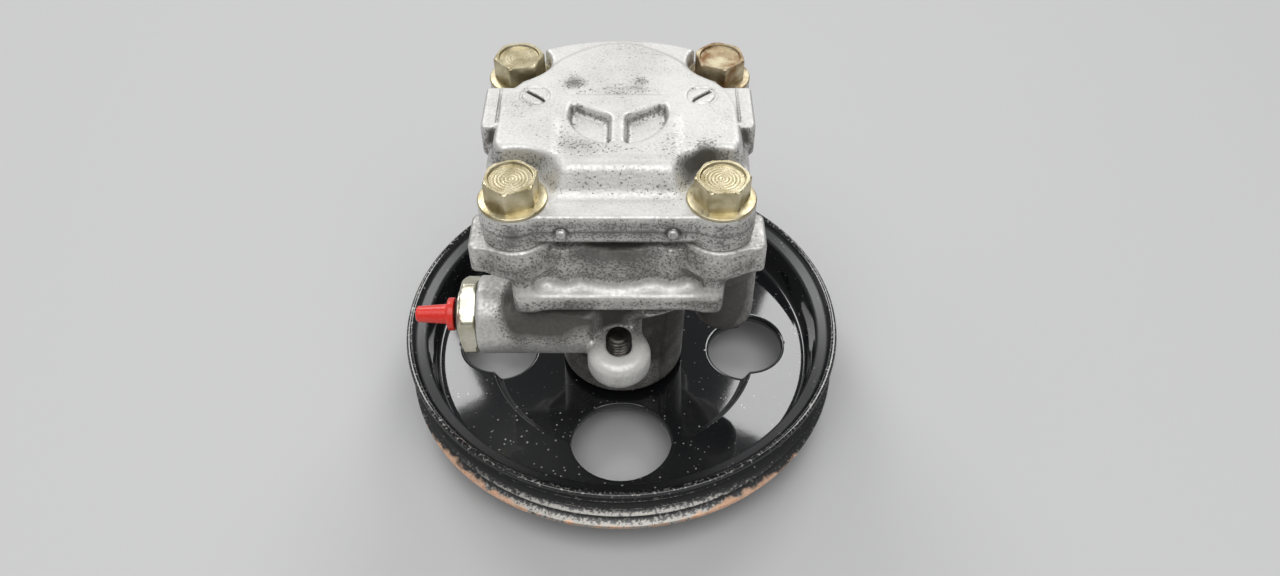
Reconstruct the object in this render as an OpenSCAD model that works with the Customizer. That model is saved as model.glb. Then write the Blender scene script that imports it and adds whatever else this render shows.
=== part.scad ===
// Vane pump for hydraulic steering, standing on the nut of its belt pulley.
// Millimetres. The shaft runs along +Z, the stud lug faces -Y, the valve barrel points to -X.

/* [Pulley] */
// Diameter over the belt flanges
pulley_d = 130; // [120:1:150]
// Height of the rim
rim_h = 16.4; // [15.8:0.1:20]
// Number of belt grooves
groove_count = 4; // [3:1:4]
// Distance between grooves
groove_pitch = 3.56; // [3:0.02:3.7]
// Depth of a groove below the ridge
groove_depth = 2.8; // [1.6:0.1:3]
// How far the ridges stay inside the flanges
ridge_drop = 1; // [0.4:0.1:1.4]
// Thickness of the lower belt flange
flange_t = 1.3; // [0.8:0.1:1.5]
// Thickness of the pressed sheet
sheet_t = 2.8; // [2:0.1:3.2]
// How far the middle of the web lies below the outer web
web_drop = 3.4; // [2:0.1:4]
// Outer radius of the step in the web
step_r = 41.4; // [38:0.2:46]
// Diameter of the large access holes
hole_big_d = 29.4; // [22:0.2:30]
// Radius on which the large access holes lie
hole_big_at = 36; // [35:0.1:40]
// Diameter of the small access holes
hole_small_d = 22.6; // [18:0.2:24]
// Radius on which the small access holes lie
hole_small_at = 38.5; // [35:0.1:40]
// Outside diameter of the pulley hub
hub_d = 19.2; // [18:0.1:19.6]

/* [Shaft] */
// Width across flats of the pulley nut
nut_af = 22; // [19:0.5:24]
// Height of the pulley nut
nut_h = 6.2; // [5.5:0.1:9]
// Thickness of the spring washer
washer_t = 2; // [1.6:0.1:2.6]
// Diameter of the shaft in the bearing, the seal and the bush
shaft_d = 15; // [14.4:0.1:15.4]
// Diameter of the shaft in the pulley hub and the rotor
seat_d = 13.6; // [12.5:0.1:14]
// Diameter of the shaft in the nut
thread_d = 12; // [11:0.1:12.4]
// Width of the key
key_w = 4; // [3:0.1:4.4]

/* [Bearing and seal] */
// Outside diameter of the ball bearing
bearing_d = 32; // [31:0.1:32.6]
// Width of the ball bearing
bearing_w = 9; // [8.4:0.1:9.6]
// Diameter of a ball
ball_d = 4.6; // [4:0.1:4.7]
// Number of balls
ball_count = 9; // [7:1:11]
// Thickness of the retaining rings
clip_t = 1.2; // [1:0.1:1.3]
// Outside diameter of the oil seal
seal_d = 25; // [24:0.1:27]
// Height of the oil seal
seal_h = 6; // [5:0.1:6.4]
// Outside diameter of the shaft bush
bush_d = 18.4; // [17.6:0.1:20]
// Length of the shaft bush
bush_len = 18; // [14:0.5:20]

/* [Pumping set] */
// Bore that takes the side plate and the cam ring
cavity_d = 53; // [52:0.1:54]
// Thickness of the side plate
plate_t = 7; // [6:0.1:8]
// Height of the cam ring
cam_h = 15.5; // [14:0.1:17]
// Diameter of the rotor
rotor_d = 36; // [34:0.1:36.4]
// Gap between the rotor and the cam ring at the tight places
cam_gap = 0.2; // [0.1:0.05:0.4]
// Rise of the cam ring from the tight to the wide places
cam_rise = 2.2; // [1.5:0.1:2.4]
// Number of vanes
vane_count = 10; // [8:1:12]
// Thickness of a vane
vane_t = 1.5; // [1.2:0.1:1.8]
// Radial length of a vane
vane_len = 7.2; // [6:0.1:7.6]
// Diameter of the dowel pins
dowel_d = 3.4; // [2.6:0.1:3.6]
// Sweep of a kidney port, in degrees
port_sweep = 44; // [30:1:50]
// How far a kidney port reaches in over the rotor
port_in = 4.4; // [3:0.1:5]

/* [Body] */
// Diameter of the neck at its lower end
neck_d = 37; // [36.6:0.1:39]
// Growth of the neck diameter on the way up
neck_draft = 2.4; // [1:0.1:3]
// Gap between the pulley and the neck
neck_gap = 2; // [1.5:0.1:3]
// Length of the body from the end of the neck to the cover
body_len = 74; // [72:0.5:80]
// Thickness of the wall round the cam ring
wall_t = 4; // [3.8:0.1:4.6]
// Thickness of the floor under the side plate
floor_t = 6; // [5:0.1:7]
// Thickness of the body flange
flange_h = 8.2; // [7:0.1:9]
// Radius of the corners of the body flange
corner_r = 9.2; // [9:0.1:10]
// Distance of the wing ends from the middle
wing_x = 36.4; // [35.5:0.1:38]
// Distance of the front ledge from the middle
ledge_y = 35; // [34:0.1:37]
// Half width of the front ledge
ledge_half = 25.4; // [23:0.1:27]
// Thickness of the front ledge
ledge_h = 5; // [4:0.1:6]
// Width of the columns at the ends of the front ledge
column_w = 2.6; // [2:0.1:5]
// Distance that the ledge stands out from the front wall
ledge_step = 2.4; // [1.5:0.1:3]
// Height of the front wall between the ledge and the body flange
ledge_window = 6.8; // [5:0.1:8]

/* [Lugs and ports] */
// Diameter of the mounting lugs
lug_d = 16.6; // [15:0.1:18]
// Height of the mounting lugs
lug_h = 8.4; // [7:0.1:10]
// Distance of the lugs from the shaft
lug_at = 37; // [36:0.1:38.5]
// Depth of the lugs below the cover
lug_drop = 40; // [38:0.5:43]
// Thread diameter of the stud, crest to crest
stud_d = 6.8; // [6:0.1:7.4]
// Thread diameter of the stud, root to root
stud_root_d = 5.6; // [5:0.1:5.8]
// How far the stud stands above its lug
stud_out = 4.4; // [3:0.1:8]
// Diameter of the clearance round the stud, above its lug
relief_d = 15.2; // [14:0.1:16]
// Diameter of the bore for the return hose
inlet_d = 17; // [14:0.2:18]
// Outside diameter of the return port
inlet_boss_d = 23; // [22:0.2:25]
// Distance of the return port from the middle, sideways
inlet_x = 12; // [10:0.1:12.5]
// Diameter of the tapped bore for the pressure pipe
outlet_d = 13; // [11:0.1:13.4]
// Outside diameter of the pressure port
outlet_boss_d = 18; // [17:0.1:18.6]

/* [Cover] */
// Thickness of the cover flange
cover_t = 9.5; // [8:0.1:12]
// Height of the plateau over the flange
plateau_h = 6.5; // [5:0.1:7]
// Radius of the plateau
plateau_r = 32.5; // [31.5:0.1:33]
// Half width of the plateau
plateau_half = 30.5; // [29:0.1:31]
// Half width of the nose of the plateau
nose_half = 15.4; // [14:0.1:17]
// Radius of the corners of the cover flange
cover_corner_r = 8.3; // [8:0.1:8.8]
// Gap under the cover between its corners
cover_gap = 1.3; // [0.8:0.1:2]
// Distance of the front bolts from the middle, sideways
bolt_front_x = 25; // [24.6:0.1:26]
// Distance of the front bolts from the middle, forwards
bolt_front_y = 26; // [25:0.1:26.6]
// Distance of the rear bolts from the middle, sideways
bolt_rear_x = 27; // [26.4:0.1:28]
// Distance of the rear bolts from the middle, backwards
bolt_rear_y = 24.5; // [24:0.1:26]
// Radius of the casting pocket on the plateau
pocket_r = 12.6; // [10:0.1:13]
// Depth of the casting pocket
pocket_depth = 2.6; // [1:0.1:3]
// Width of the ribs in the casting pocket
pocket_rib = 3.7; // [2.5:0.1:5]

/* [Cover bolts] */
// Width across flats of a bolt head
bolt_af = 12; // [11:0.5:13]
// Height of a bolt head over its seat
bolt_head_h = 7.2; // [6.8:0.1:8]
// Diameter of the flange on a bolt head
bolt_flange_d = 17; // [15.6:0.1:17.4]
// Diameter of a bolt shank
bolt_d = 8; // [7:0.1:8.2]
// Diameter of a bolt at the root of its thread
bolt_root_d = 6.6; // [6:0.1:6.8]

/* [Valve and switch] */
// Outside diameter of the valve barrel
barrel_d = 21; // [20:0.1:22]
// Distance of the barrel axis from the shaft
barrel_y = 25; // [24:0.1:26]
// Distance of the open barrel end from the shaft
barrel_end = 37.4; // [36:0.1:40]
// Diameter of the valve bore
spool_d = 14; // [12:0.1:14.4]
// Length of the valve spool
spool_len = 13; // [12:0.1:14]
// Wire diameter of the valve spring
spring_wire_d = 1.1; // [0.8:0.1:1.3]
// Width across flats of the switch
switch_af = 19; // [18:0.5:20]
// Thickness of the switch hexagon
switch_hex_h = 5.4; // [4:0.1:7]
// Diameter of the screwed end of the switch
switch_thread_d = 16; // [15.4:0.1:16.2]
// Length of the screwed end of the switch
switch_thread_len = 8; // [6:0.1:9]
// Diameter of the terminal
terminal_d = 2.4; // [1.8:0.1:2.6]
// Diameter of the cap at its tip
cap_tip_d = 4.3; // [4:0.1:5]
// Diameter of the cap at its root
cap_root_d = 5.4; // [5:0.1:6.4]
// Diameter of the collar of the cap
cap_collar_d = 8.9; // [7:0.1:10]
// Length of the cap
cap_len = 10.6; // [9.6:0.1:12]

/* [Clearances] */
// Radial clearance of seats that do not turn
seat_gap = 0.04; // [0.02:0.01:0.06]
// Radial clearance of turning and sliding fits
run_gap = 0.04; // [0.02:0.01:0.08]

/* [Hidden] */
$fn = 96;
// Heights, from the floor up
z_hub = nut_h + washer_t;
z_disc = z_hub + sheet_t;
z_rim = z_hub + web_drop;
z_web = z_rim + sheet_t;
z_lip = z_rim + rim_h;
z_neck = z_disc + neck_gap;
z_clip = z_neck + 1.2;
z_bearing = z_clip + clip_t + 0.2;
z_bearing_top = z_bearing + bearing_w;
z_seal = z_bearing_top + 1.6;
z_seal_top = z_seal + seal_h;
z_mate = z_neck + body_len;
z_plate = z_mate - cam_h;
z_floor = z_plate - plate_t;
z_barrel = z_floor - spool_d / 2 - 2.5;
z_bush = z_floor - 3 - bush_len;
z_flange = z_mate - flange_h;
z_ledge_top = z_flange - ledge_window;
z_ledge = z_ledge_top - ledge_h;
z_seat = z_mate + cover_t;
z_top = z_seat + plateau_h;
z_lug = z_mate - lug_drop;
z_lug_top = z_lug + lug_h;
// Radii
pulley_r = pulley_d / 2;
ridge_r = pulley_r - ridge_drop;
root_r = ridge_r - groove_depth;
wall_low_r = root_r - 3.7;
wall_high_r = root_r - 2;
cavity_r = cavity_d / 2;
body_r = cavity_r + wall_t;
cam_r = cavity_r - 0.1;
rotor_r = rotor_d / 2;
slot_r = rotor_r - vane_len - 0.5;
shaft_r = shaft_d / 2;
seat_r = seat_d / 2;
bearing_r = bearing_d / 2;
race_r = (bearing_r + shaft_r) / 2;
cover_seal_r = cavity_r + wall_t / 2;
cover_seal_d = 1.5;
plate_seal_d = 1.6;
dowel_at = (rotor_r + cam_gap + cam_r - plate_seal_d) / 2;
rotor_h = cam_h - 0.1;
shaft_tip = z_mate + 4;
bolt_depth = 11;
// Valve, along X from the open end of the barrel
x_mouth = -barrel_end;
x_bore_end = -relief_d / 2 - 0.6;
x_spool = x_bore_end - 0.4 - spool_len;
x_plug_end = x_mouth + switch_thread_len;
x_hex = x_mouth - switch_hex_h;
x_boot = x_hex - 0.8;
x_cap = x_boot - 0.5;
x_cap_tip = x_cap - cap_len;
spring_r = spool_d / 2 - 2.3;
spring_turns = 7;
// Turn of each bolt head, seen from above
bolt_turn = [22, 2, 12, 40];

// Plain ring standing on z = 0
module ring(outer_r, inner_r, h) {
    difference() {
        cylinder(r = outer_r, h = h);
        translate([0, 0, -1]) cylinder(r = inner_r, h = h + 2);
    }
}

// Round bar along +X from x0 to x1 on the valve axis
module valve_bar(x0, x1, r) {
    translate([x0, -barrel_y, z_barrel]) rotate([0, 90, 0]) cylinder(r = r, h = x1 - x0);
}

// Children placed on each cover bolt, with $bolt as its number
module at_bolts() {
    places = [
        [-bolt_front_x, -bolt_front_y], [bolt_front_x, -bolt_front_y],
        [-bolt_rear_x, bolt_rear_y], [bolt_rear_x, bolt_rear_y]
    ];
    for ($bolt = [0 : 3]) translate([places[$bolt][0], places[$bolt][1], 0]) children();
}

// Open ring with a slit, for clips and the spring washer
module split_ring(outer_r, inner_r, h, slit) {
    difference() {
        ring(outer_r, inner_r, h);
        translate([0, -slit / 2, -1]) cube([outer_r + 1, slit, h + 2]);
    }
}

// Outer side of the rim from the lower flange up to the lip
function groove_points() = [
    for (i = [0 : groove_count - 1])
        let (z0 = z_rim + flange_t + i * groove_pitch)
        each [
            [i == 0 ? pulley_r : ridge_r, z0],
            [root_r + 0.3, z0 + groove_pitch * 0.4],
            [root_r, z0 + groove_pitch * 0.5],
            [root_r + 0.3, z0 + groove_pitch * 0.6],
            [i == groove_count - 1 ? pulley_r : ridge_r, z0 + groove_pitch]
        ]
];

module pulley() {
    color([0.03, 0.03, 0.035])
    difference() {
        rotate_extrude() polygon(concat(
            [
                [hub_d / 2 + seat_gap, z_hub],
                [step_r - 2.4, z_hub],
                [step_r, z_rim],
                [pulley_r - 0.5, z_rim],
                [pulley_r, z_rim + 0.5]
            ],
            groove_points(),
            [
                [pulley_r, z_lip - 0.6],
                [pulley_r - 0.5, z_lip],
                [pulley_r - 1.6, z_lip],
                [pulley_r - 3, z_lip - 0.7],
                [wall_high_r, z_lip - 2.6],
                [wall_low_r + 0.4, z_web + 2],
                [wall_low_r - 1.6, z_web],
                [step_r + 0.5, z_web],
                [step_r - 1.9, z_disc],
                [hub_d / 2 + seat_gap, z_disc]
            ]
        ));
        for (s = [-1, 1]) {
            translate([0, s * hole_big_at, z_hub - 1]) cylinder(d = hole_big_d, h = rim_h);
            translate([s * hole_small_at, 0, z_hub - 1]) cylinder(d = hole_small_d, h = rim_h);
        }
    }
}

module pulley_hub() {
    color([0.35, 0.35, 0.36])
    translate([0, 0, z_hub])
    difference() {
        ring(hub_d / 2, seat_r + seat_gap, z_bearing - z_hub);
        translate([0, -key_w / 2 - seat_gap, -1])
            cube([seat_r + 2, key_w + 2 * seat_gap, z_bearing - z_hub + 2]);
    }
}

module pulley_nut() {
    color([0.5, 0.45, 0.3])
    difference() {
        intersection() {
            cylinder(d = nut_af / cos(30), h = nut_h, $fn = 6);
            cylinder(d1 = nut_af + 0.6, d2 = nut_af + 0.6 + 4 * nut_h, h = nut_h);
        }
        translate([0, 0, -1]) cylinder(d = thread_d + 2 * seat_gap, h = nut_h + 2);
    }
}

module spring_washer() {
    color([0.3, 0.3, 0.3])
    translate([0, 0, nut_h])
    split_ring(nut_af / 2 - 1, seat_r + 0.1, washer_t, 1);
}

module pulley_key() {
    color([0.4, 0.4, 0.42])
    translate([seat_r - 2.2, -key_w / 2, z_hub + 1])
    cube([4, key_w, z_bearing - z_hub - 2]);
}

module drive_shaft() {
    color([0.6, 0.6, 0.62])
    difference() {
        rotate_extrude() polygon([
            [0, 0.4],
            [thread_d / 2 - 0.8, 0.4],
            [thread_d / 2, 1.2],
            [thread_d / 2, z_hub],
            [seat_r, z_hub],
            [seat_r, z_bearing],
            [shaft_r, z_bearing],
            [shaft_r, z_bearing_top],
            [shaft_r + 1.2, z_bearing_top],
            [shaft_r + 1.2, z_bearing_top + 1.2],
            [shaft_r, z_bearing_top + 1.2],
            [shaft_r, z_floor],
            [seat_r, z_floor],
            [seat_r, z_mate],
            [seat_r - 0.8, z_mate],
            [seat_r - 0.8, z_mate + clip_t + 0.1],
            [seat_r, z_mate + clip_t + 0.1],
            [seat_r, shaft_tip - 0.8],
            [seat_r - 0.8, shaft_tip],
            [0, shaft_tip]
        ]);
        translate([seat_r - 2.2 - seat_gap, -key_w / 2 - seat_gap, z_hub + 1 - seat_gap])
            cube([5, key_w + 2 * seat_gap, z_bearing - z_hub - 2 + 2 * seat_gap]);
    }
}

// Ball track cut into both bearing rings
module ball_track() {
    translate([0, 0, bearing_w / 2]) rotate_extrude() translate([race_r, 0])
        circle(d = ball_d + 2 * run_gap);
}

module bearing_inner_ring() {
    color([0.7, 0.7, 0.72])
    translate([0, 0, z_bearing])
    difference() {
        ring(race_r - 1.4, shaft_r + seat_gap, bearing_w);
        ball_track();
    }
}

module bearing_outer_ring() {
    color([0.7, 0.7, 0.72])
    translate([0, 0, z_bearing])
    difference() {
        ring(bearing_r, race_r + 1.4, bearing_w);
        ball_track();
    }
}

// Children placed on each ball of the bearing
module at_balls() {
    for (i = [0 : ball_count - 1]) rotate(i * 360 / ball_count)
        translate([race_r, 0, z_bearing + bearing_w / 2]) children();
}

module bearing_balls() {
    color([0.8, 0.8, 0.82])
    at_balls() sphere(d = ball_d);
}

module bearing_cage() {
    color([0.55, 0.5, 0.4])
    difference() {
        translate([0, 0, z_bearing + bearing_w / 2 - ball_d * 0.65])
            ring(race_r + 0.7, race_r - 0.7, ball_d * 1.3);
        at_balls() sphere(d = ball_d + 2 * run_gap);
    }
}

module bearing_clip() {
    color([0.25, 0.25, 0.26])
    translate([0, 0, z_clip])
    split_ring(bearing_r + 0.9, bearing_r - 2.4, clip_t, 9);
}

module shaft_seal() {
    color([0.1, 0.1, 0.1])
    rotate_extrude() polygon([
        [shaft_r + run_gap, z_seal + 2],
        [shaft_r + run_gap, z_seal + 2.6],
        [shaft_r + 1.4, z_seal + 4.2],
        [shaft_r + 2.4, z_seal + 4.2],
        [shaft_r + 2.4, z_seal + 1.6],
        [seal_d / 2 - 1.2, z_seal + 1.6],
        [seal_d / 2 - 1.2, z_seal_top],
        [seal_d / 2, z_seal_top],
        [seal_d / 2, z_seal],
        [shaft_r + 1.2, z_seal]
    ]);
}

module shaft_bush() {
    color([0.6, 0.45, 0.25])
    translate([0, 0, z_bush])
    ring(bush_d / 2, shaft_r + run_gap, bush_len);
}

// Turned lug with a soft upper edge
module lug_shape() {
    rotate_extrude() polygon(concat(
        [[0, z_lug], [lug_d / 2 - 1, z_lug], [lug_d / 2, z_lug + 1]],
        [for (a = [0 : 15 : 90]) [lug_d / 2 - 3 + 3 * cos(a), z_lug_top - 3 + 3 * sin(a)]],
        [[0, z_lug_top]]
    ));
}

// Plan of the body flange
module flange_plan() {
    circle(r = body_r);
    at_bolts() circle(r = corner_r);
    for (s = [-1, 1]) {
        rotate(s * atan2(bolt_front_x, bolt_front_y)) translate([-7, -bolt_front_y - 8])
            square([14, bolt_front_y + 8]);
        rotate(-s * atan2(bolt_rear_x, bolt_rear_y)) translate([-7, 0])
            square([14, bolt_rear_y + 8]);
    }
    translate([-wing_x, -bolt_front_y - 7]) square([wing_x - bolt_front_x, 13]);
    translate([bolt_front_x, -bolt_front_y - 7]) square([wing_x - bolt_front_x, 13]);
}

// Boss that hangs from the right of the body, with a soft lower end
module side_boss() {
    r = 8.2;
    bottom = z_lug - 5;
    translate([29, -13, 0]) rotate_extrude() polygon(concat(
        [[0, bottom]],
        [for (a = [-90 : 15 : 0]) [r - 4 + 4 * cos(a), bottom + 4 + 4 * sin(a)]],
        [[r, z_flange + 1], [0, z_flange + 1]]
    ));
}

// Body casting without its lugs and bores
module body_mass() {
    rotate_extrude() polygon([
        [0, z_neck],
        [neck_d / 2 - 0.8, z_neck],
        [neck_d / 2, z_neck + 0.8],
        [neck_d / 2 + neck_draft / 2, z_barrel - 3],
        [body_r - 6, z_floor - floor_t - 3],
        [body_r - 1.6, z_floor - floor_t],
        [body_r, z_floor - floor_t + 1.6],
        [body_r, z_mate],
        [0, z_mate]
    ]);
    translate([0, 0, z_flange]) linear_extrude(flange_h) flange_plan();
    at_bolts() translate([0, 0, z_flange - 5]) cylinder(r1 = corner_r - 4, r2 = corner_r, h = 5);
    // front ledge with its end columns, and the wall above it
    translate([-ledge_half, -ledge_y, z_ledge]) cube([2 * ledge_half, ledge_y - 12, ledge_h]);
    translate([-ledge_half, ledge_step - ledge_y, z_ledge])
        cube([2 * ledge_half, ledge_y - ledge_step - 12, z_flange - z_ledge + 1]);
    for (s = [-1, 1]) {
        translate([s * (ledge_half - column_w / 2) - column_w / 2, -ledge_y, z_ledge])
            cube([column_w, 16, z_flange - z_ledge + 1]);
        translate([s * 13.5, -27.8, z_ledge]) cylinder(r = 3, h = z_flange + flange_h - z_ledge);
    }
    // parting ribs on the neck
    for (a = [-55.5, -47.5]) rotate(a) translate([neck_d / 2 - 1.5, -0.6, z_neck + 1.5])
        cube([2.3, 1.2, body_len - lug_drop]);
    // valve barrel
    valve_bar(x_mouth + 1, x_bore_end + 12, barrel_d / 2);
    translate([x_mouth, -barrel_y, z_barrel]) rotate([0, 90, 0])
        cylinder(d1 = barrel_d - 2, d2 = barrel_d, h = 1);
    side_boss();
    // pressure port beside the barrel
    translate([x_mouth + 1.4, -4, z_barrel - 4]) rotate([0, 90, 0])
        cylinder(d = outlet_boss_d, h = barrel_end - 8);
    translate([x_mouth + 6, -barrel_y + 4, z_barrel - 9]) cube([22, barrel_y - 8, 10]);
    // return port at the back
    translate([inlet_x, cavity_r / 2, z_plate + 1]) rotate([-90, 0, 0])
        cylinder(d = inlet_boss_d, h = cavity_r / 2 + 12);
}

// Outside of the body casting, hollowed round the stud, with both mounting lugs on their arms
module body_casting() {
    difference() {
        body_mass();
        translate([0, -lug_at, z_lug - 1]) cylinder(d = relief_d, h = z_ledge - z_lug - 1.5);
    }
    for (s = [-1, 1]) {
        translate([0, s * lug_at, 0]) lug_shape();
        translate([-6, s * lug_at / 2 - lug_at / 2, z_lug + 0.5]) cube([12, lug_at, lug_h - 1.5]);
    }
}

module pump_body() {
    color([0.62, 0.61, 0.58])
    difference() {
        body_casting();
        // stepped shaft bore
        translate([0, 0, z_neck - 1])
            cylinder(r = bearing_r + seat_gap, h = z_bearing_top + seat_gap - z_neck + 1);
        translate([0, 0, z_clip - 0.05]) cylinder(r = bearing_r + 1, h = clip_t + 0.1);
        translate([0, 0, z_bearing_top - 1])
            cylinder(d = seal_d + 2 * seat_gap, h = z_seal_top - z_bearing_top + 1 + seat_gap);
        translate([0, 0, z_bearing_top]) cylinder(d = bush_d - 2, h = z_floor - z_bearing_top + 1);
        translate([0, 0, z_bush]) cylinder(d = bush_d + 2 * seat_gap, h = z_floor - z_bush + 1);
        // cavity of the pumping set, with the groove of the cover seal
        translate([0, 0, z_floor]) cylinder(r = cavity_r, h = z_mate - z_floor + 1);
        translate([0, 0, z_mate - cover_seal_d - 0.05])
            ring(cover_seal_r + 1, cover_seal_r - 1, cover_seal_d + 2);
        at_bolts() translate([0, 0, z_mate - bolt_depth - 1])
            cylinder(d = bolt_root_d + 2 * seat_gap, h = bolt_depth + 2);
        // valve bore, its mouth and the groove of the switch seal
        valve_bar(x_mouth + 1, x_bore_end, spool_d / 2);
        valve_bar(x_mouth - 1, x_plug_end + seat_gap, switch_thread_d / 2 + seat_gap);
        valve_bar(x_mouth - 1, x_mouth + 1.2, switch_thread_d / 2 + 1.5);
        // stud bore and the tapped bore of the rear lug
        for (s = [-1, 1]) translate([0, s * lug_at, z_lug - 1])
            cylinder(d = stud_root_d + 2 * seat_gap, h = lug_h + 2);
        // ports
        translate([x_mouth, -4, z_barrel - 4]) rotate([0, 90, 0]) cylinder(d = outlet_d, h = 14);
        translate([x_mouth + 10, -4, z_barrel - 4]) rotate([90, 0, 0])
            cylinder(d = 6, h = barrel_y - 4);
        translate([inlet_x, cavity_r + 1, z_plate + 1]) rotate([-90, 0, 0])
            cylinder(d = inlet_d, h = 14);
        translate([inlet_x, cavity_r - 6, z_plate + 5.6]) rotate([-90, 0, 0])
            cylinder(d = 7, h = 10);
    }
}

module mounting_stud() {
    color([0.06, 0.06, 0.06])
    translate([0, -lug_at, 0]) rotate_extrude() polygon([
        [0, z_lug - 0.5],
        [stud_root_d / 2, z_lug - 0.5],
        [stud_root_d / 2, z_lug_top],
        [stud_d / 2, z_lug_top],
        [stud_d / 2, z_lug_top + stud_out],
        [stud_d / 2 - 0.7, z_lug_top + stud_out + 0.7],
        [0, z_lug_top + stud_out + 0.7]
    ]);
}

// Curved port between two radii, centred on +X
module kidney(inner_r, outer_r, sweep, h) {
    rotate(-sweep / 2) rotate_extrude(angle = sweep)
        translate([inner_r, 0]) square([outer_r - inner_r, h]);
}

module side_plate() {
    color([0.5, 0.5, 0.52])
    difference() {
        translate([0, 0, z_floor]) cylinder(r = cam_r, h = plate_t - 0.02);
        translate([0, 0, z_floor - 1]) cylinder(d = bush_d, h = plate_t + 2);
        translate([0, 0, z_floor + 2.4])
            ring(cam_r + 1, cam_r - plate_seal_d - 0.05, plate_seal_d + 0.1);
        for (a = [0, 180]) rotate(a) {
            translate([dowel_at, 0, z_floor + 1]) cylinder(d = dowel_d + 2 * seat_gap, h = plate_t);
            rotate(45) translate([0, 0, z_floor - 1])
                kidney(rotor_r - port_in, rotor_r + 1, port_sweep, plate_t + 2);
        }
    }
}

module side_plate_seal() {
    color([0.08, 0.08, 0.08])
    translate([0, 0, z_floor + 2.45 + plate_seal_d / 2]) rotate_extrude()
        translate([cam_r - plate_seal_d / 2 + 0.04, 0]) circle(d = plate_seal_d, $fn = 32);
}

// Inside of the cam ring: two tight and two wide places in one turn
function cam_points() = [
    for (a = [0 : 4 : 356])
        (rotor_r + cam_gap + cam_rise * (0.5 - 0.5 * cos(2 * a))) * [cos(a), sin(a)]
];

module cam_ring() {
    color([0.45, 0.45, 0.47])
    difference() {
        translate([0, 0, z_plate]) cylinder(r = cam_r, h = cam_h - 0.02);
        translate([0, 0, z_plate - 1]) linear_extrude(cam_h + 2) polygon(cam_points());
        for (a = [0, 180]) rotate(a) translate([dowel_at, 0, z_plate - 1])
            cylinder(d = dowel_d + 2 * seat_gap, h = cam_h + 2);
    }
}

module dowel_pins() {
    color([0.65, 0.65, 0.67])
    for (a = [0, 180]) rotate(a) translate([dowel_at, 0, z_floor + 1.2])
        cylinder(d = dowel_d, h = z_mate - z_floor + 1.4);
}

// Children placed on each vane, outward along +X
module at_vanes() {
    for (i = [0 : vane_count - 1]) rotate((i + 0.5) * 360 / vane_count) children();
}

module rotor() {
    color([0.4, 0.4, 0.42])
    difference() {
        translate([0, 0, z_plate + 0.05])
            ring(rotor_r, seat_r + seat_gap, rotor_h);
        at_vanes() translate([0, 0, z_plate - 1]) {
            translate([slot_r, -vane_t / 2 - run_gap, 0])
                cube([vane_len + 2, vane_t + 2 * run_gap, cam_h + 2]);
            translate([slot_r, 0, 0]) cylinder(d = vane_t + 0.7, h = cam_h + 2, $fn = 32);
        }
    }
}

module vanes() {
    color([0.7, 0.7, 0.72])
    at_vanes() translate([rotor_r - vane_len - 0.05, -vane_t / 2, z_plate + 0.1])
        cube([vane_len, vane_t, rotor_h - 0.1]);
}

module rotor_clip() {
    color([0.25, 0.25, 0.26])
    translate([0, 0, z_mate + 0.03])
    split_ring(seat_r + 1.4, seat_r - 0.7, clip_t, 4);
}

module cover_seal() {
    color([0.08, 0.08, 0.08])
    translate([0, 0, z_mate - cover_seal_d / 2 - 0.02]) rotate_extrude()
        translate([cover_seal_r, 0]) circle(d = cover_seal_d, $fn = 32);
}

// Plan of the cover flange between its corners
module cover_plan() {
    front = bolt_front_y + cover_corner_r - 1.8;
    rear = bolt_rear_y + cover_corner_r - 1.2;
    side = bolt_front_x + cover_corner_r - 0.6;
    polygon([
        [-bolt_front_x, -front], [bolt_front_x, -front], [side, -bolt_front_y],
        [side, bolt_rear_y], [bolt_rear_x, rear], [-bolt_rear_x, rear],
        [-side, bolt_rear_y], [-side, -bolt_front_y]
    ]);
}

// Plan of the plateau behind its nose, grown by a margin
module plateau_plan(grow) {
    w = plateau_half + grow;
    y0 = 6 - bolt_rear_y;
    // straight cuts past the rear bolts
    reach = 28.6 + grow;
    polygon([
        [-w, y0], [w, y0],
        [w, (reach - 0.733 * w) / 0.678],
        [(reach - 0.678 * (plateau_r + 2)) / 0.733, plateau_r + 2],
        [-(reach - 0.678 * (plateau_r + 2)) / 0.733, plateau_r + 2],
        [-w, (reach - 0.733 * w) / 0.678]
    ]);
}

// Plateau with its sloped nose and the hollows round the bolts, its side ears and rear shelf
module plateau() {
    nose_low = bolt_front_y - 0.6;
    nose_high = nose_low - 4.6;
    shelf_half = bolt_rear_x - 3;
    shelf_h = plateau_h - 1;
    difference() {
        union() {
            intersection() {
                translate([0, 0, z_seat - 1])
                    cylinder(r1 = plateau_r + 1.2, r2 = plateau_r, h = plateau_h + 1);
                hull() {
                    translate([0, 0, z_seat - 1]) linear_extrude(0.1) plateau_plan(1.2);
                    translate([0, 0, z_top - 0.1]) linear_extrude(0.1) plateau_plan(0);
                }
            }
            hull() {
                translate([-nose_half - 1.2, -nose_low, z_seat - 0.2])
                    cube([2 * nose_half + 2.4, nose_low, 0.1]);
                translate([-nose_half, -nose_high, z_top - 0.1])
                    cube([2 * nose_half, nose_high, 0.1]);
            }
        }
        at_bolts() translate([0, 0, z_seat])
            cylinder(r1 = $bolt < 2 ? 11.2 : 9.4, r2 = $bolt < 2 ? 12.6 : 9.4, h = plateau_h + 1);
    }
    // side ears and rear shelf
    translate([-bolt_front_x - 9.5, -5.3, z_seat - 1])
        cube([2 * bolt_front_x + 19, 17.1, plateau_h + 0.5]);
    difference() {
        translate([-shelf_half, 0, z_seat - 1])
            cube([2 * shelf_half, bolt_rear_y + cover_corner_r - 1.4, shelf_h]);
        at_bolts() translate([0, 0, z_seat]) cylinder(r = 9.4, h = plateau_h);
    }
}

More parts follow.
